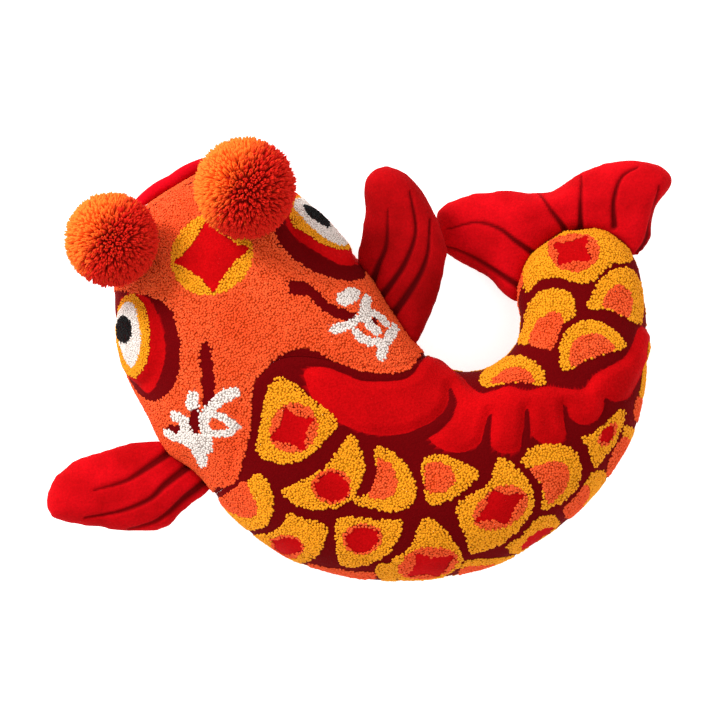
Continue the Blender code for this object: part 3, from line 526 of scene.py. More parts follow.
def cut_pile():
    """Sheared maroon and red pile: short upright fibres that drink the light and glow at the edges."""
    mat, tree, shader = new_material("sheared_pile", 0.95, 0.06, "C80A10")
    shader.inputs["Specular IOR Level"].default_value = 0.04
    fuzz = mottle(tree, 480.0, 4.0)
    wander = arithmetic(tree, "MULTIPLY_ADD", fuzz, 1.6, -0.8)
    depth = arithmetic(tree, "ADD", attribute(tree, "red"), wander)
    patch = ramp(tree, mottle(tree, 16.0, 2.0), 0.35, 0.65)
    brushed = ramp(tree, fuzz, 0.35, 0.65)
    red = mix(tree, brushed, mix(tree, patch, linear("980204"), linear("B20307")),
              mix(tree, patch, linear("AC0307"), linear("C8050B")))
    deep = ramp(tree, fuzz, 0.3, 0.7, 0.0, 0.45)
    ground = mix(tree, deep, attribute(tree, "ground", "Color"), linear("4A0002"))
    whole = mix(tree, ramp(tree, depth, -0.25, 0.25), ground, red)
    tree.links.new(whole, shader.inputs["Base Color"])
    bump(tree, shader, fuzz, 0.0009, 0.8)
    return mat


def fin_velvet(name, low, high, vein):
    """Red velvet, brushed smooth, with darker stitched grooves; the groove colour also paints shade on a fin's
    steep sides.
    """
    mat, tree, shader = new_material(name, 0.92, 0.12, "E0101C")
    shader.inputs["Specular IOR Level"].default_value = 0.05
    cloud = mix(tree, ramp(tree, mottle(tree, 26.0, 4.0), 0.35, 0.65), linear(low), linear(high))
    fuzz = mottle(tree, 480.0, 4.0)
    cloud = mix(tree, ramp(tree, fuzz, 0.3, 0.7, 0.3, 0.0), cloud, linear(vein))
    groove = mix(tree, ramp(tree, attribute(tree, "groove"), 0.15, 0.85), cloud, linear(vein))
    tree.links.new(groove, shader.inputs["Base Color"])
    bump(tree, shader, fuzz, 0.0008, 0.7)
    return mat


def yarn():
    """Cut acrylic yarn with painted light and shade: red-orange deep in the ball and on the side away from the key
    lamp, bright orange on the side towards it.
    """
    mat, tree, shader = new_material("cut_acrylic_yarn", 0.85, 0.1, "FF6A28")
    # painted shade: each end darkens towards its root, deep in the ball
    deep = mix(tree, ramp(tree, attribute(tree, "tip"), 0.6, 0.97), linear("A00400"), linear("E01C0A"))
    tone = mix(tree, ramp(tree, attribute(tree, "shade"), 0.15, 0.7), deep, linear("FF7C24"))
    tree.links.new(tone, shader.inputs["Base Color"])
    bump(tree, shader, mottle(tree, 1400.0), 0.0003, 0.5)
    return mat


def woven(name, low, high, threads, roughness=0.8):
    """Plain woven cloth; threads is the number of threads a metre."""
    mat, tree, shader = new_material(name, roughness, 0.2, high)
    place = add(tree, "ShaderNodeTexCoord").outputs["Object"]
    lines = []
    for direction in ("X", "Y"):
        wave = add(tree, "ShaderNodeTexWave", {"bands_direction": direction},
                   {"Vector": place, "Scale": threads / 20, "Distortion": 0.6, "Detail": 1.0})
        lines.append(wave.outputs["Fac"])
    weave = arithmetic(tree, "MULTIPLY", *lines)
    cloud = mix(tree, mottle(tree, 80.0, 3.0), linear(low), linear(high))
    shaded = mix(tree, ramp(tree, weave, 0.0, 1.0, 0.45, 0.0), cloud, linear(low))
    tree.links.new(shaded, shader.inputs["Base Color"])
    bump(tree, shader, weave, 0.0003, 0.6)
    return mat


def lacquered_zinc():
    """Die-cast zinc under maroon lacquer: smooth, a little worn, with a soft gloss."""
    mat, tree, shader = new_material("lacquered_zinc", 0.35, metallic=0.9)
    shader.inputs["Specular IOR Level"].default_value = 0.5
    worn = mix(tree, ramp(tree, mottle(tree, 900.0, 4.0), 0.55, 0.75), linear("6A0C12"), linear("A8585C"))
    tree.links.new(worn, shader.inputs["Base Color"])
    bump(tree, shader, mottle(tree, 2500.0), 0.00005, 0.4)
    return mat


# ------------------------------------------------------------------ meshes

def unit(rows):
    return rows / np.linalg.norm(rows, axis=-1, keepdims=True)


def as_mesh(bm, name):
    mesh = bpy.data.meshes.new(name)
    bm.to_mesh(mesh)
    bm.free()
    return mesh


def vertices(mesh, what="co"):
    """Every vertex's place or normal."""
    values = np.empty(len(mesh.vertices) * 3, np.float32)
    mesh.vertices.foreach_get(what, values)
    return values.reshape(-1, 3).astype(float)


def move(mesh, places):
    """Moves every vertex to its place in mm."""
    mesh.vertices.foreach_set("co", (places * MM).astype(np.float32).ravel())


def put(name, mesh, mat, body, replaced=()):
    """A finished piece that rides on a body and stands for CAD nodes."""
    mesh.name = name
    mesh.materials.clear()
    mesh.materials.append(mat)
    ob = bpy.data.objects.new(name, mesh)
    bpy.context.scene.collection.objects.link(ob)
    return dress(ob, body, replaced)


def dress(ob, body, replaced=()):
    if body:
        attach(ob, body)
    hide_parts(*replaced)
    return ob


def grid(columns, rows):
    """A grid mesh, with each vertex's share along and round."""
    bm = bmesh.new()
    bmesh.ops.create_grid(bm, x_segments=columns, y_segments=rows, size=1.0)
    bm.verts.ensure_lookup_table()
    share = np.array([v.co[:2] for v in bm.verts]) / 2 + 0.5
    return bm, share[:, 0], share[:, 1]


def shape_grid(bm, places):
    for v, p in zip(bm.verts, places):
        v.co = p
    return bm


def set_floats(mesh, name, values):
    made = mesh.attributes.new(name, "FLOAT", "POINT")
    made.data.foreach_set("value", np.asarray(values, np.float32))


def set_colours(mesh, name, values):
    made = mesh.color_attributes.new(name, "FLOAT_COLOR", "POINT")
    made.data.foreach_set("color", np.asarray(values, np.float32).ravel())


def template(create, **options):
    """Vertices and triangles of one small closed shape."""
    bm = bmesh.new()
    create(bm, **options)
    bmesh.ops.triangulate(bm, faces=bm.faces)
    verts = np.array([v.co[:] for v in bm.verts])
    faces = np.array([[v.index for v in f.verts] for f in bm.faces])
    bm.free()
    return verts, faces


def repeated(verts, faces, places, bases):
    """One mesh of many copies of a template, each with its own place and basis columns."""
    spots = np.einsum("vk,nkj->nvj", verts, bases) + places[:, None, :]
    corners = faces[None] + (np.arange(len(places)) * len(verts))[:, None, None]
    mesh = bpy.data.meshes.new("copies")
    mesh.vertices.add(spots.shape[0] * spots.shape[1])
    mesh.vertices.foreach_set("co", spots.astype(np.float32).ravel())
    mesh.loops.add(corners.size)
    mesh.loops.foreach_set("vertex_index", corners.astype(np.int32).ravel())
    mesh.polygons.add(corners.shape[0] * corners.shape[1])
    mesh.polygons.foreach_set("loop_start", np.arange(0, corners.size, 3, dtype=np.int32))
    mesh.update(calc_edges=True)
    mesh.validate()
    mesh.shade_smooth()
    return mesh


def frames(normals, rng):
    """Random right-handed bases whose third row is the normal."""
    side = unit(np.cross(normals, rng.normal(size=normals.shape)))
    return np.stack([side, np.cross(normals, side), normals], axis=1)


def spread(places, spacing, rng):
    """Even but irregular picks of a grid of places: cell column, row and shares inside the cell."""
    a, b, c = places[:-1, :-1], places[1:, :-1], places[:-1, 1:]
    area = np.linalg.norm(np.cross(b - a, c - a), axis=2)
    tries = int(area.sum() / spacing**2 * 5)
    cell = rng.choice(area.size, tries, p=area.ravel() / area.sum())
    row, column = np.unravel_index(cell, area.shape)
    f, g = rng.random(tries), rng.random(tries)
    spots = blend_grid(places, row, column, f, g)
    keys = np.floor(spots / spacing).astype(int)
    taken, kept = {}, []
    around = [(i, j, k) for i in (-1, 0, 1) for j in (-1, 0, 1) for k in (-1, 0, 1)]
    limit = spacing * spacing
    for n, (p, key) in enumerate(zip(spots.tolist(), keys.tolist())):
        x, y, z = key
        clear = True
        for i, j, k in around:
            for q in taken.get((x + i, y + j, z + k), ()):
                if (p[0] - q[0]) ** 2 + (p[1] - q[1]) ** 2 + (p[2] - q[2]) ** 2 < limit:
                    clear = False
                    break
            if not clear:
                break
        if clear:
            taken.setdefault((x, y, z), []).append(p)
            kept.append(n)
    return row[kept], column[kept], f[kept], g[kept]


def blend_grid(values, row, column, f, g):
    f, g = f[:, None], g[:, None]
    near = values[row, column] * (1 - f) + values[row + 1, column] * f
    far = values[row, column + 1] * (1 - f) + values[row + 1, column + 1] * f
    return near * (1 - g) + far * g


def smooth_step(x):
    x = np.clip(x, 0, 1)
    return x * x * (3 - 2 * x)


def lumps(places, size, amount):
    """Slow unevenness of the stuffing."""
    return np.array([noise.noise(Vector(p) / size) for p in places.tolist()]) * amount


# ------------------------------------------------------------------ covers

def relief(u, t, flat, places):
    """How far the cloth stands off the plain body, in mm."""
    rise = lumps(places, 42.0, 1.6) + lumps(places + 300.0, 14.0, 0.35)
    back = within(flat, BACK_FIN_OUTLINE)
    for line in BACK_FIN_SLITS:
        back = np.minimum(back, -stroke(flat, line) + 0.5)
    rise += 3.6 * smooth_step(back / 9.0) - 0.6 * (1 - smooth_step(np.abs(back) / 3.0))
    for eu, et, ru, rt in EYES:
        share = np.sqrt(((u - eu) / ru) ** 2 + ((t - et) / rt) ** 2)
        rise += EYE_RISE * smooth_step((1.12 - share) / 0.35)
    seam = np.abs(u - gill(t)) * 26.0
    rise -= 1.4 * (1 - smooth_step(seam / 5.0))
    low = np.minimum(t + SEAM_ANGLE, 180 + SEAM_ANGLE - t)
    return rise - 2.0 * (1 - smooth_step(low / 9.0))


def normals_of(places):
    along = np.gradient(places, axis=0)
    round_it = np.gradient(places, axis=1)
    normal = np.cross(round_it, along)
    size = np.maximum(np.linalg.norm(normal, axis=2), 1e-9)
    return normal / size[..., None]


LOOP_SPACING, LOOP_RADIUS = 1.66, 1.46
EYE_SPACING, EYE_RADIUS = 1.3, 1.0
LIP_LINE = 0.08  # ribs of sheared maroon behind the lip
STEM_CAP, CAP_DOME = 6, 3.5  # rows that close the stem's end under the tail fin, and how far it bulges
CLOTH, SKIN_DEPTH = 3.0, 0.8  # thickness of the tufted cloth, and how far it lies inside the plain body
SEAM_INSET = 0.6  # degrees that the cover stops short of the belly cloth
LOOP_SHAPE = np.array([1.0, 0.95, 0.52])  # a loop is flatter than it is wide
LOOP_SEAT, LOOP_JITTER = 0.35, 0.16  # mm that loops stand off the cloth, and how much that wanders


def stem_cap(lifted):
    """Rows that draw the cover's last rib in to a closed, slightly domed end."""
    rim, last = lifted[-1], lifted[-1] - lifted[-2]
    ahead = unit(last[len(rim) // 2])
    centre = (rim[0] + rim[-1]) / 2
    shares = np.linspace(0, 1, STEM_CAP + 1)[1:] ** 0.7
    return np.array([centre + (rim - centre) * (1 - 0.999 * k) + ahead * CAP_DOME * math.sqrt(k)
                     for k in shares])


def cover(name, start, end, columns, rows, body_side, mat):
    """One stuffed cover as a thick sheet, and what its loops need: ribs, angles, places and normals."""
    bm, along, round_it = grid(columns + (STEM_CAP if body_side else 0), rows)
    order = np.lexsort((np.round(round_it, 5), np.round(along, 5))).reshape(-1, rows + 1)
    share, turn = np.meshgrid(np.linspace(0, 1, columns + 1), np.linspace(0, 1, rows + 1), indexing="ij")
    edge = SEAM_ANGLE - SEAM_INSET
    t = -edge + (180 + 2 * edge) * turn
    u = start(t) + (end(t) - start(t)) * share
    across, down = u.ravel(), t.ravel()
    flat, plain = pattern_points(across, down), skin_points(across, down)
    normal = normals_of(plain.reshape(*u.shape, 3))
    if normal[columns // 2, rows // 2, 2] < 0:
        normal = -normal
    rise = relief(across, down, flat, plain).reshape(u.shape)
    lifted = plain.reshape(*u.shape, 3) + normal * (rise - SKIN_DEPTH)[..., None]
    colour, red = paint(flat)
    if body_side:
        side_scales(across, down, colour, red)
    else:
        colour[across < LIP_LINE] = PAINTS["maroon"]
    table = np.array([linear(HEXES[key]) for key in PAINTS])
    ground, red = table[colour].reshape(*u.shape, 4), red.reshape(u.shape)
    piled = np.isin(colour, LOOPED).reshape(u.shape)
    beside = [np.roll(piled, step, axis) for step in (1, -1) for axis in (0, 1)]
    ground[piled & ~np.logical_and.reduce(beside)] = table[PAINTS["maroon"]]
    whole = lifted
    if body_side:
        whole = np.concatenate([lifted, stem_cap(lifted)])
        ground = np.concatenate([ground, np.repeat(ground[-1:], STEM_CAP, axis=0)])
        red = np.concatenate([red, np.repeat(red[-1:], STEM_CAP, axis=0)])
    arranged = np.argsort(order.ravel())
    shape_grid(bm, whole.reshape(-1, 3)[arranged] * MM)
    bmesh.ops.recalc_face_normals(bm, faces=bm.faces)
    bm.faces.ensure_lookup_table()
    bm.normal_update()
    top = max(bm.faces, key=lambda face: face.calc_center_median().z)
    if top.normal.z < 0:
        bmesh.ops.reverse_faces(bm, faces=bm.faces)
    mesh = as_mesh(bm, name)
    set_floats(mesh, "red", red.ravel()[arranged])
    set_colours(mesh, "ground", ground.reshape(-1, 4)[arranged])
    mesh.shade_smooth()
    replaced = ("body_cover", "body_filling") if body_side else ("head_cover", "head_filling")
    ob = put(name, mesh, mat, "root", replaced)
    wall = ob.modifiers.new("cloth", "SOLIDIFY")
    wall.thickness, wall.offset = CLOTH * MM, -1.0
    up = normals_of(lifted)
    up[(up * normal).sum(2) < 0] *= -1
    return u[..., None], t[..., None], lifted, up


def eye_share(u, t, eye):
    return np.sqrt(((u - eye[0]) / eye[2]) ** 2 + ((t - eye[1]) / eye[3]) ** 2)


def loop_picks(grids, body_side, spacing, rng):
    """Places, normals, paint, ribs and angles of the loops on a cover."""
    row, column, f, g = spread(grids[2], spacing, rng)
    uu, tt, places, normal = (blend_grid(values, row, column, f, g) for values in grids)
    uu, tt = uu[:, 0], tt[:, 0]
    colour, red = paint(pattern_points(uu, tt) + rng.normal(size=(len(uu), 2)) * spacing * 0.15)
    if body_side:
        side_scales(uu, tt, colour, red)
    else:
        colour[uu < LIP_LINE] = PAINTS["maroon"]
    return places, unit(normal), colour, uu, tt


def eye_picks(grids, eye, rng):
    """The finer loops of one raised eye."""
    near = eye_share(grids[0][..., 0], grids[1][..., 0], eye) < 1.25
    rows, columns = np.where(near.any(1))[0], np.where(near.any(0))[0]
    part = [values[rows[0] : rows[-1] + 1, columns[0] : columns[-1] + 1] for values in grids]
    picks = loop_picks(part, False, EYE_SPACING, rng)
    inside = eye_share(picks[3], picks[4], eye) < EYE_REACH
    return [values[inside] for values in picks]


def loops(name, places, normals, mat, rng, replaced=(), radius=LOOP_RADIUS):
    """Tufted loops, each a small rounded knuckle of yarn."""
    verts, faces = template(bmesh.ops.create_icosphere, subdivisions=1, radius=1.0)
    count = len(places)
    size = radius * (1 + 0.1 * rng.normal(size=(count, 1, 1)))
    bases = frames(normals, rng) * size * LOOP_SHAPE[None, :, None]
    seat = LOOP_SEAT + LOOP_JITTER * rng.normal(size=(count, 1))
    spots = places + normals * seat * radius / LOOP_RADIUS
    mesh = repeated(verts, faces, spots * MM, bases * MM)
    set_floats(mesh, "tip", np.tile(verts[:, 2] / 2 + 0.5, count))
    set_floats(mesh, "shade", np.repeat(rng.random(count), len(verts)))
    return put(name, mesh, mat, "root", replaced)


# ------------------------------------------------------------------ build

rng = np.random.default_rng(7)
# each pile's first colour is painted shade at the loops' feet, the second their own colour, the third a brighter
# tone some loops take at random
PILES = {
    "orange": loop_pile("orange_loop_pile", "D03C0E", "E04A1A", "EE6A36"),
    "yellow": loop_pile("yellow_loop_pile", "D48A08", "E4920C", "F0A018"),
    "white": loop_pile("white_loop_pile", "B8AEA6", "DDD2CA", "EEE6E0"),
    "black": loop_pile("black_loop_pile", "010101", "030303", "0C0A09"),
}
SHEARED = cut_pile()
EYE_REACH = 1.2  # how far the finer loops go round a raised eye, in its own reach
FEWEST_LOOPS, MOST_LOOPS = 8, 9900  # a patch this small is left out, and one this large is two pieces


def build_covers():
    head = cover("head_skin", lambda t: 0.0 * t, lambda t: gill(t) - 0.002, 160, 150, False, SHEARED)
    body = cover("body_skin", lambda t: gill(t) + 0.002, lambda t: LAST_RIB + 0.0 * t, 290, 140, True, SHEARED)
    for where, grids in (("head", head), ("body", body)):
        places, normals, colour, u, t = loop_picks(grids, where == "body", LOOP_SPACING, rng)
        clear = (eye_share(u, t, EYES[0]) > EYE_REACH) & (eye_share(u, t, EYES[1]) > EYE_REACH)
        for key in PILES:
            chosen = (colour == PAINTS[key]) & clear
            groups = {f"{where}_{key}_loops": chosen}
            if chosen.sum() > MOST_LOOPS:
                groups = {f"{where}_{key}_loops_left": chosen & (t < 90),
                          f"{where}_{key}_loops_right": chosen & (t >= 90)}
            for name, mask in groups.items():
                if mask.sum() > FEWEST_LOOPS:
                    loops(name, places[mask], normals[mask], PILES[key], rng)
    for side, eye in zip(("left", "right"), EYES):
        places, normals, colour, _, _ = eye_picks(head, eye, rng)
        for key in PILES:
            mask = colour == PAINTS[key]
            if mask.sum() > FEWEST_LOOPS:
                loops(f"{side}_eye_{key}_loops", places[mask], normals[mask], PILES[key], rng,
                      (f"{side}_eye_pad",), EYE_RADIUS)


build_covers()


def copy_of(*nodes):
    """A bmesh of CAD nodes with their triangles joined up."""
    bm = bmesh.new()
    for name in nodes:
        bm.from_mesh(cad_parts[name].data)
    bmesh.ops.remove_doubles(bm, verts=bm.verts, dist=1e-6)
    return bm


def as_object(bm, name):
    ob = bpy.data.objects.new(name, as_mesh(bm, name))
    bpy.context.scene.collection.objects.link(ob)
    return ob


def apply_all(ob):
    """The object's mesh with its modifiers applied."""
    bpy.context.view_layer.update()
    graph = bpy.context.evaluated_depsgraph_get()
    mesh = bpy.data.meshes.new_from_object(ob.evaluated_get(graph), depsgraph=graph)
    old = ob.data
    ob.modifiers.clear()
    ob.data = mesh
    bpy.data.meshes.remove(old)
    return ob


PUFF_FRAMES = 20
STUFFING = {
    "quality": 6, "mass": 0.25, "tension_stiffness": 18.0, "compression_stiffness": 18.0, "bending_stiffness": 0.6,
    "use_pressure": True, "uniform_pressure_force": 4.0, "vertex_group_mass": "sewn",
}


def puff(ob, held, most):
    """Blows a closed piece up like a stuffed one; held vertices stay and no point moves more than most."""
    before = vertices(ob.data)
    group = ob.vertex_groups.new(name="sewn")
    for i, weight in enumerate(held):
        group.add([i], float(weight), "REPLACE")
    cloth = ob.modifiers.new("stuffing", "CLOTH")
    for key, value in STUFFING.items():
        setattr(cloth.settings, key, value)
    cloth.settings.effector_weights.gravity = 0.0
    cloth.collision_settings.use_collision = False
    scene = bpy.context.scene
    for number in range(1, PUFF_FRAMES + 1):
        scene.frame_set(number)
    apply_all(ob)
    moved = vertices(ob.data) - before
    size = np.maximum(np.linalg.norm(moved, axis=1), 1e-9)
    moved *= np.minimum(1.0, most / size)[:, None]
    move(ob.data, (before + moved) / MM)
    scene.frame_set(1)
    return ob


# each fin's grooves from root to tip, its root's line, its tip, its low, high and groove tones, the width of the
# grooves, how far its root is tucked under the body and how far its outline grows, in mm
FINS = {
    "left_fin": {
        "veins": (((-170, -82), (-194, -98), (-212, -109), (-240, -117)),
                  ((-154, -95), (-176, -112), (-190, -125), (-217, -136), (-248, -141)),
                  ((-138, -108), (-158, -123), (-172, -136), (-187, -145), (-210, -151))),
        "root": ((-178, -76), (-140, -115)), "tip": (-250, -122),
        "tones": ("AC0207", "CA0510", "5E0103"), "width": 9.0, "tuck": 4.0, "grow": 0.8,
    },
    "right_fin": {
        "veins": (((8, 64), (16, 86), (23, 104), (24, 134)), ((14, 52), (27, 68), (41, 90), (49, 117), (43, 150)),
                  ((28, 40), (44, 62), (55, 81), (60, 99), (61, 126))),
        "root": ((-6, 90), (46, 22)), "tip": (40, 165),
        # the right fin's tones are darker than the other fins': painted shadow of the head over it
        "tones": ("900204", "B0040A", "4E0103"), "width": 9.0, "tuck": 4.0, "grow": 0.8,
    },
    "tail_fin": {
        "veins": (((183, 121), (171, 136), (160, 150)), ((198, 122), (198, 144), (200, 164)),
                  ((229, 122), (228, 144), (235, 164), (250, 173)),
                  ((154, 98), (139, 108), (124, 119), (104, 124), (78, 118)),
                  ((145, 64), (130, 76), (112, 88), (94, 98), (78, 104)),
                  ((250, 98), (257, 112), (262, 138), (268, 158))),
        "root": ((141, 70), (252, 92)), "tip": (180, 200),
        "tones": ("B4030A", "D20612", "600104"), "width": 7.0, "tuck": 8.0, "grow": 2.0,
    },
}


def run_distance(points, line):
    """Distance in plan from a chain of straight runs, and the share along it."""
    best = np.full(len(points), 1e9)
    share = np.zeros(len(points))
    for n, (a, b) in enumerate(zip(line, line[1:])):
        a, run = np.array(a, float), np.array(b, float) - np.array(a, float)
        f = np.clip(((points - a) @ run) / (run @ run), 0, 1)
        gap = np.linalg.norm(points - a - f[:, None] * run, axis=1)
        share = np.where(gap < best, (n + f) / (len(line) - 1), share)
        best = np.minimum(best, gap)
    return best, share


FIN_VOXEL, FIN_PUFF = 0.0036, 0.006  # metres
TUCKED, SEWN = 18.0, 14.0  # mm from the root's line over which a fin is tucked in, and held while it is puffed


def make_fin(name, facts):
    """A stuffed fin of velvet: puffed between its sewn edge and its stitched grooves."""
    ob = as_object(copy_of(f"{name}_top_panel", f"{name}_bottom_panel", f"{name}_filling"), name)
    remesh = ob.modifiers.new("skin", "REMESH")
    remesh.mode, remesh.voxel_size = "VOXEL", FIN_VOXEL
    eased = ob.modifiers.new("eased", "SMOOTH")
    eased.factor, eased.iterations = 0.5, 10  # takes off the steps of the voxels
    apply_all(ob)
    root = np.array(facts["root"], float)
    middle = root.mean(0)
    out = unit(np.array(facts["tip"], float) - middle)
    spots = vertices(ob.data) / MM
    gap, _ = run_distance(spots[:, :2], root)
    spots[:, :2] -= out * (facts["tuck"] * np.clip(1 - gap / TUCKED, 0, 1))[:, None]
    move(ob.data, spots)
    gap, _ = run_distance(vertices(ob.data)[:, :2] / MM, root)
    puff(ob, np.clip(1.3 - gap / SEWN, 0, 1), FIN_PUFF)
    fine = ob.modifiers.new("fine", "SUBSURF")
    fine.levels = fine.render_levels = 1
    apply_all(ob)
    places = vertices(ob.data) / MM
    normal = vertices(ob.data, "normal")
    groove = np.zeros(len(places))
    for vein in facts["veins"]:
        gap, share = run_distance(places[:, :2], smooth_line(vein))
        wide = facts["width"] * (1.0 - 0.72 * share)
        groove = np.maximum(groove, smooth_step(1.2 - gap / wide * 1.7) * (1.0 - 0.35 * share))
    level = np.abs(normal[:, 2])
    groove *= smooth_step(level / 0.45)
    rise = 1.2 - 2.6 * groove + lumps(places, 24.0, 1.2) + lumps(places, 8.0, 0.3)
    places += normal * rise[:, None]
    places[:, :2] += normal[:, :2] * facts["grow"]
    move(ob.data, places)
    # painted shade: where the fin's surface turns to the side, the groove colour also darkens it along its rounded
    # edge
    set_floats(ob.data, "groove", np.maximum(groove, 0.7 * smooth_step((0.32 - level) / 0.3)))
    ob.data.shade_smooth()
    ob.data.materials.clear()
    ob.data.materials.append(fin_velvet(f"{name}_velvet", *facts["tones"]))
    dress(ob, None, (f"{name}_top_panel", f"{name}_bottom_panel", f"{name}_filling"))
    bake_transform(ob)


YARN_ENDS, YARN_TUFTS = 7000, 1500
YARN_RADIUS, YARN_START, HEART_SHARE = 1.25, 0.6, 0.8  # mm, and shares of the ball's radius
TIE_RINGS, TIE_REACH, TIE_RADIUS = 4, 1.15, 0.5  # turns of thread in the knot, their reach and half thickness
PAINTED_LIGHT_SIDE = np.array([-0.84, 0.52, -0.16])  # painted light: the side of each pom-pom towards the key lamp, painted pale orange; the far side is painted red as shade


def make_pompom(side, rng):
    """A ball of cut yarn: thousands of ends that gather in tufts."""
    body = f"{side}_pompom"
    low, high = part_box(body)
    centre, radius = (low + high) / 2 / MM, (high - low).x / 2 / MM + 1.0
    n = np.arange(YARN_ENDS) + 0.5
    tilt, turn = np.arccos(1 - 2 * n / YARN_ENDS), n * math.pi * (1 + 5**0.5)
    out = np.column_stack([np.sin(tilt) * np.cos(turn), np.sin(tilt) * np.sin(turn), np.cos(tilt)])
    out = unit(out + rng.normal(size=out.shape) * 0.03)
    tufts = unit(rng.normal(size=(YARN_TUFTS, 3)))
    nearest = np.argmax(out @ tufts.T, axis=1)
    lean = unit(out * 0.55 + tufts[nearest] * 0.45)
    reach = radius * (1 + 0.018 * rng.normal(size=YARN_TUFTS)[nearest] + 0.012 * rng.normal(size=YARN_ENDS))
    inner = out * radius * YARN_START
    outer = lean * np.minimum(reach, radius * 1.05)[:, None]
    axis = outer - inner
    length = np.linalg.norm(axis, axis=1)
    verts, faces = template(bmesh.ops.create_uvsphere, u_segments=4, v_segments=4, radius=1.0)
    bases = frames(axis / length[:, None], rng)
    bases[:, :2] *= YARN_RADIUS
    bases[:, 2] *= length[:, None] / 2
    mesh = repeated(verts, faces, (np.array(centre) + (inner + outer) / 2) * MM, bases * MM)
    # painted light and shade: ends towards the key lamp are pale, those away from it red, with a random tone by
    # tuft and by end
    pale = smooth_step(0.32 + out @ unit(PAINTED_LIGHT_SIDE))
    shade = 0.72 * pale + 0.28 * rng.random(YARN_TUFTS)[nearest] * (0.3 + pale)
    shade += 0.08 * rng.normal(size=YARN_ENDS)
    set_floats(mesh, "tip", np.tile(verts[:, 2] / 2 + 0.5, YARN_ENDS) ** 0.5)
    set_floats(mesh, "shade", np.repeat(shade, len(verts)))
    put(f"{side}_pompom_yarn", mesh, YARN, body, (body,))
    bm = bmesh.new()
    place = Matrix.Translation(Vector(centre) * MM)
    bmesh.ops.create_icosphere(bm, subdivisions=3, radius=radius * HEART_SHARE * MM, matrix=place)
    core = as_mesh(bm, "core")
    # painted shade: the heart takes the darkest yarn tone, as the shade deep inside the ball
    set_floats(core, "tip", np.full(len(core.vertices), 0.5))
    set_floats(core, "shade", np.zeros(len(core.vertices)))
    core.shade_smooth()
    put(f"{side}_pompom_heart", core, YARN, body)
    low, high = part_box(f"{side}_pompom_knot")
    bm = bmesh.new()
    for k in range(TIE_RINGS):
        tilted = Matrix.Rotation(k * math.pi / 4, 4, "X") @ Matrix.Rotation(k * 1.1, 4, "Z")
        ring = bmesh.new()
        rim = Matrix.Translation((TIE_REACH * MM, 0, 0)) @ Matrix.Rotation(math.pi / 2, 4, "X")
        made = bmesh.ops.create_circle(ring, segments=6, radius=TIE_RADIUS * MM, matrix=rim)
        edges = list({e for v in made["verts"] for e in v.link_edges})
        bmesh.ops.spin(ring, geom=made["verts"] + edges, axis=(0, 0, 1), cent=(0, 0, 0), steps=14,
                       angle=2 * math.pi, use_merge=True)
        bmesh.ops.remove_doubles(ring, verts=ring.verts, dist=1e-6)
        bmesh.ops.recalc_face_normals(ring, faces=ring.faces)
        bmesh.ops.transform(ring, matrix=Matrix.Translation((low + high) / 2) @ tilted, verts=ring.verts)
        bm.from_mesh(as_mesh(ring, "ring"))
    knot = as_mesh(bm, "knot")
    knot.shade_smooth()
    put(f"{side}_pompom_tie", knot, THREAD, f"{side}_pompom_knot", (f"{side}_pompom_knot",))


MOUTH_SHARE, MOUTH_BULGE = 0.985, 6.0  # of the head's first rib, and mm ahead of it
LIP_SWELL, LIP_ARCH = 1.6, 1.4  # mm that the lip is fuller, and farther ahead in its middle


def make_mouth(rng):
    """The closed front of the head, of the same loop pile, and the velvet lip over it."""
    zero = np.zeros(1)
    middle, across, half, high, widest, corner = (v[0] for v in ribs_at(zero))
    ahead = np.array([-across[1], across[0], 0.0])
    nxt = ribs_at(zero + 1.0)[0][0]
    if ahead[:2] @ (middle - nxt) < 0:
        ahead = -ahead
    centre = np.array([*middle, high / 2]) - ahead
    sides = np.array([[*across, 0.0], [0.0, 0.0, 1.0], ahead])
    reach = np.array([half * MOUTH_SHARE, high / 2 * MOUTH_SHARE, MOUTH_BULGE])
    bm = bmesh.new()
    bmesh.ops.create_uvsphere(bm, u_segments=48, v_segments=24, radius=1.0)
    local = np.array([v.co[:] for v in bm.verts])
    shape_grid(bm, (centre + (local * reach) @ sides) * MM)
    bmesh.ops.recalc_face_normals(bm, faces=bm.faces)
    mesh = as_mesh(bm, "mouth")
    set_colours(mesh, "ground", np.tile(linear(HEXES["orange"]), (len(mesh.vertices), 1)))
    set_floats(mesh, "red", np.full(len(mesh.vertices), -REACH))
    mesh.shade_smooth()
    put("mouth_front", mesh, SHEARED, "root", ("mouth_panel",))
    tilts, turns = np.linspace(0.02, math.pi / 2, 40), np.linspace(0, 2 * math.pi, 160)
    tilt, turn = np.meshgrid(tilts, turns, indexing="ij")
    ball = np.stack([np.sin(tilt) * np.cos(turn), np.sin(tilt) * np.sin(turn), np.cos(tilt)], axis=2)
    places = centre + (ball * reach) @ sides
    normal = unit((ball / reach) @ sides)
    row, column, f, g = spread(places, LOOP_SPACING, rng)
    at, up = blend_grid(places, row, column, f, g), unit(blend_grid(normal, row, column, f, g))
    loops("mouth_loops", at, up, PILES["orange"], rng)
    lip = as_object(copy_of("upper_lip"), "lip")
    fine = lip.modifiers.new("fine", "SUBSURF")
    fine.levels = fine.render_levels = 3
    apply_all(lip)
    spots = vertices(lip.data) / MM
    beside = (spots - centre) @ sides[0] / half
    arch = np.clip(1 - beside**2 * 1.4, 0, 1)
    spots += vertices(lip.data, "normal") * LIP_SWELL + ahead * (LIP_ARCH * arch)[:, None]
    move(lip.data, spots)
    set_floats(lip.data, "groove", np.zeros(len(lip.data.vertices)))
    lip.data.shade_smooth()
    lip.data.materials.clear()
    lip.data.materials.append(fin_velvet("lip_velvet", "BE0210", "DC0620", "6A0108"))
    dress(lip, "root", ("upper_lip",))


STITCH_PITCH, STITCH_LONG, STITCH_THICK = 6.0, 3.4, 1.0
ZIP_RUN = math.atan2(-0.8625, 0.506)  # turns the zip's own direction onto X


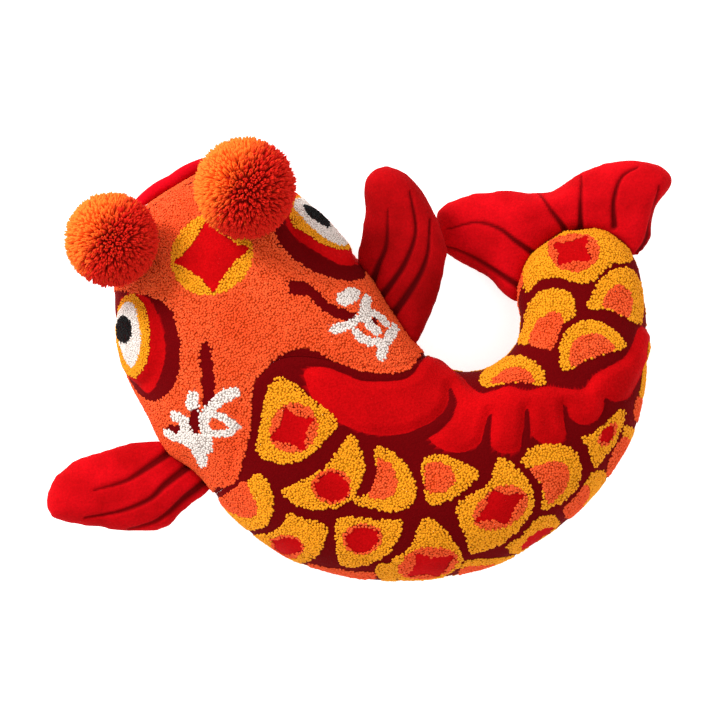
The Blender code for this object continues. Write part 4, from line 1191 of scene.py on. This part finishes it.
def make_belly():
    """The plain cloth underneath, its seam stitches and the zip's finishes."""
    cloth = woven("plain_weave_cotton", "52000A", "7A0612", 1400.0)
    for name in ("head", "body"):
        bm = copy_of(f"{name}_belly_panel")
        bmesh.ops.recalc_face_normals(bm, faces=bm.faces)
        sharp = [e for e in bm.edges if len(e.link_faces) == 2 and e.calc_face_angle(0) > 0.9]
        bmesh.ops.bevel(bm, geom=sharp, offset=0.5 * MM, affect="EDGES", segments=2, profile=0.5, material=-1)
        mesh = as_mesh(bm, name)
        mesh.shade_smooth()
        mesh.set_sharp_from_angle(angle=math.radians(40))
        made = put(f"{name}_belly_cloth", mesh, cloth, "root", (f"{name}_belly_panel",))
    verts, faces = template(bmesh.ops.create_icosphere, subdivisions=1, radius=1.0)
    spots, bases = [], []
    for t in (-SEAM_ANGLE - 4.0, 180 + SEAM_ANGLE + 4.0):
        u = np.linspace(0.1, LAST_RIB - 0.1, 2000)
        line = skin_points(u, np.full(len(u), t))
        run = np.concatenate([[0], np.cumsum(np.linalg.norm(np.diff(line, axis=0), axis=1))])
        picks = np.arange(STITCH_PITCH / 2, run[-1] - STITCH_PITCH / 2, STITCH_PITCH)
        at = np.column_stack([np.interp(picks, run, line[:, k]) for k in range(3)])
        deeper = skin_points(np.interp(picks, run, u), np.full(len(picks), t + (6 if t > 0 else -6)))
        step, down = unit(np.gradient(at, axis=0)), unit(deeper - at)
        out = np.cross(step, down)
        spots.append(at)
        bases.append(np.stack([step * STITCH_LONG / 2, down * STITCH_THICK / 2, out * STITCH_THICK / 2], axis=1))
    spots, bases = np.vstack(spots), np.vstack(bases)
    stitches = repeated(verts, faces, spots * MM, bases * MM)
    put("belly_seam_stitches", stitches, THREAD, "root")
    tape = woven("zip_tape_nylon", "4E0008", "6E0812", 1700.0, 0.7)
    coil_mat, tree, shader = new_material("moulded_nylon_coil", 0.45)
    shader.inputs["Specular IOR Level"].default_value = 0.5
    place = add(tree, "ShaderNodeTexCoord").outputs["Object"]
    turned = add(tree, "ShaderNodeMapping", None, {"Vector": place, "Rotation": (0, 0, ZIP_RUN)})
    ridges = add(tree, "ShaderNodeTexWave", {"bands_direction": "X"},
                 {"Vector": turned.outputs[0], "Scale": 52.0, "Distortion": 0.0}).outputs["Fac"]
    tree.links.new(mix(tree, ridges, linear("300004"), linear("7C0C16")), shader.inputs["Base Color"])
    bump(tree, shader, ridges, 0.0004, 1.0)
    metal = lacquered_zinc()
    for mat, nodes in ((tape, ("tape_left", "tape_right")), (coil_mat, ("coil",)),
                       (metal, ("slider", "pull", "top_stop", "bottom_stop"))):
        for node in nodes:
            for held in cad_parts[f"zip_{node}"].material_slots:
                held.link = "OBJECT"
                held.material = mat


YARN = yarn()
THREAD = woven("waxed_polyester_thread", "9A0A14", "C81420", 3000.0, 0.6)
for fin_name, fin_facts in FINS.items():
    make_fin(fin_name, fin_facts)
for pompom_side in ("left", "right"):
    make_pompom(pompom_side, rng)
make_mouth(rng)
make_belly()


# ------------------------------------------------------------------ studio

FLOOR_HALF, FLOOR_GLOW, SKY_STRENGTH = 6.0, 0.7, 0.85
LAMPS = (("key", (-1.9, 1.5, 1.6), 1.1, 84.0), ("fill", (1.2, -0.4, 2.8), 2.2, 12.0))  # place, size, watts
CAMERA_FAR, MID_HEIGHT = 6.0, 0.055  # metres above the middle of the cushion's height, and that middle
VIEW_WIDTH, VIEW_MIDDLE = 0.648, -0.0009  # metres


def make_studio():
    bm = bmesh.new()
    bmesh.ops.create_grid(bm, x_segments=2, y_segments=2, size=FLOOR_HALF)
    floor = as_object(bm, "floor")
    pale, tree, shader = new_material("opal_light_table", 0.9)
    tone = mix(tree, mottle(tree, 2.0), linear("F6F5F4"), linear("FAFAFA"))
    tree.links.new(tone, shader.inputs["Base Color"])
    shader.inputs["Emission Color"].default_value = linear("FFFFFF")
    shader.inputs["Emission Strength"].default_value = FLOOR_GLOW
    floor.data.materials.append(pale)
    world = bpy.data.worlds.new("studio")
    bpy.context.scene.world = world
    world.use_nodes = True
    back = world.node_tree.nodes["Background"]
    back.inputs["Color"].default_value = (1.0, 0.99, 0.98, 1.0)
    back.inputs["Strength"].default_value = SKY_STRENGTH
    for name, place, size, power in LAMPS:
        lamp = bpy.data.lights.new(name, "AREA")
        lamp.shape, lamp.size, lamp.energy = "DISK", size, power
        ob = bpy.data.objects.new(name, lamp)
        ob.location = place
        ob.rotation_euler = (-Vector(place)).to_track_quat("-Z", "Y").to_euler()
        bpy.context.scene.collection.objects.link(ob)
    camera = bpy.data.cameras.new("camera")
    camera.sensor_width, camera.clip_end = 36.0, 50.0
    camera.lens = camera.sensor_width * CAMERA_FAR / VIEW_WIDTH
    ob = bpy.data.objects.new("camera", camera)
    ob.location = (VIEW_MIDDLE, 0.0, CAMERA_FAR + MID_HEIGHT)
    bpy.context.scene.collection.objects.link(ob)
    bpy.context.scene.camera = ob
    bpy.context.scene.view_settings.view_transform = "Standard"


make_studio()
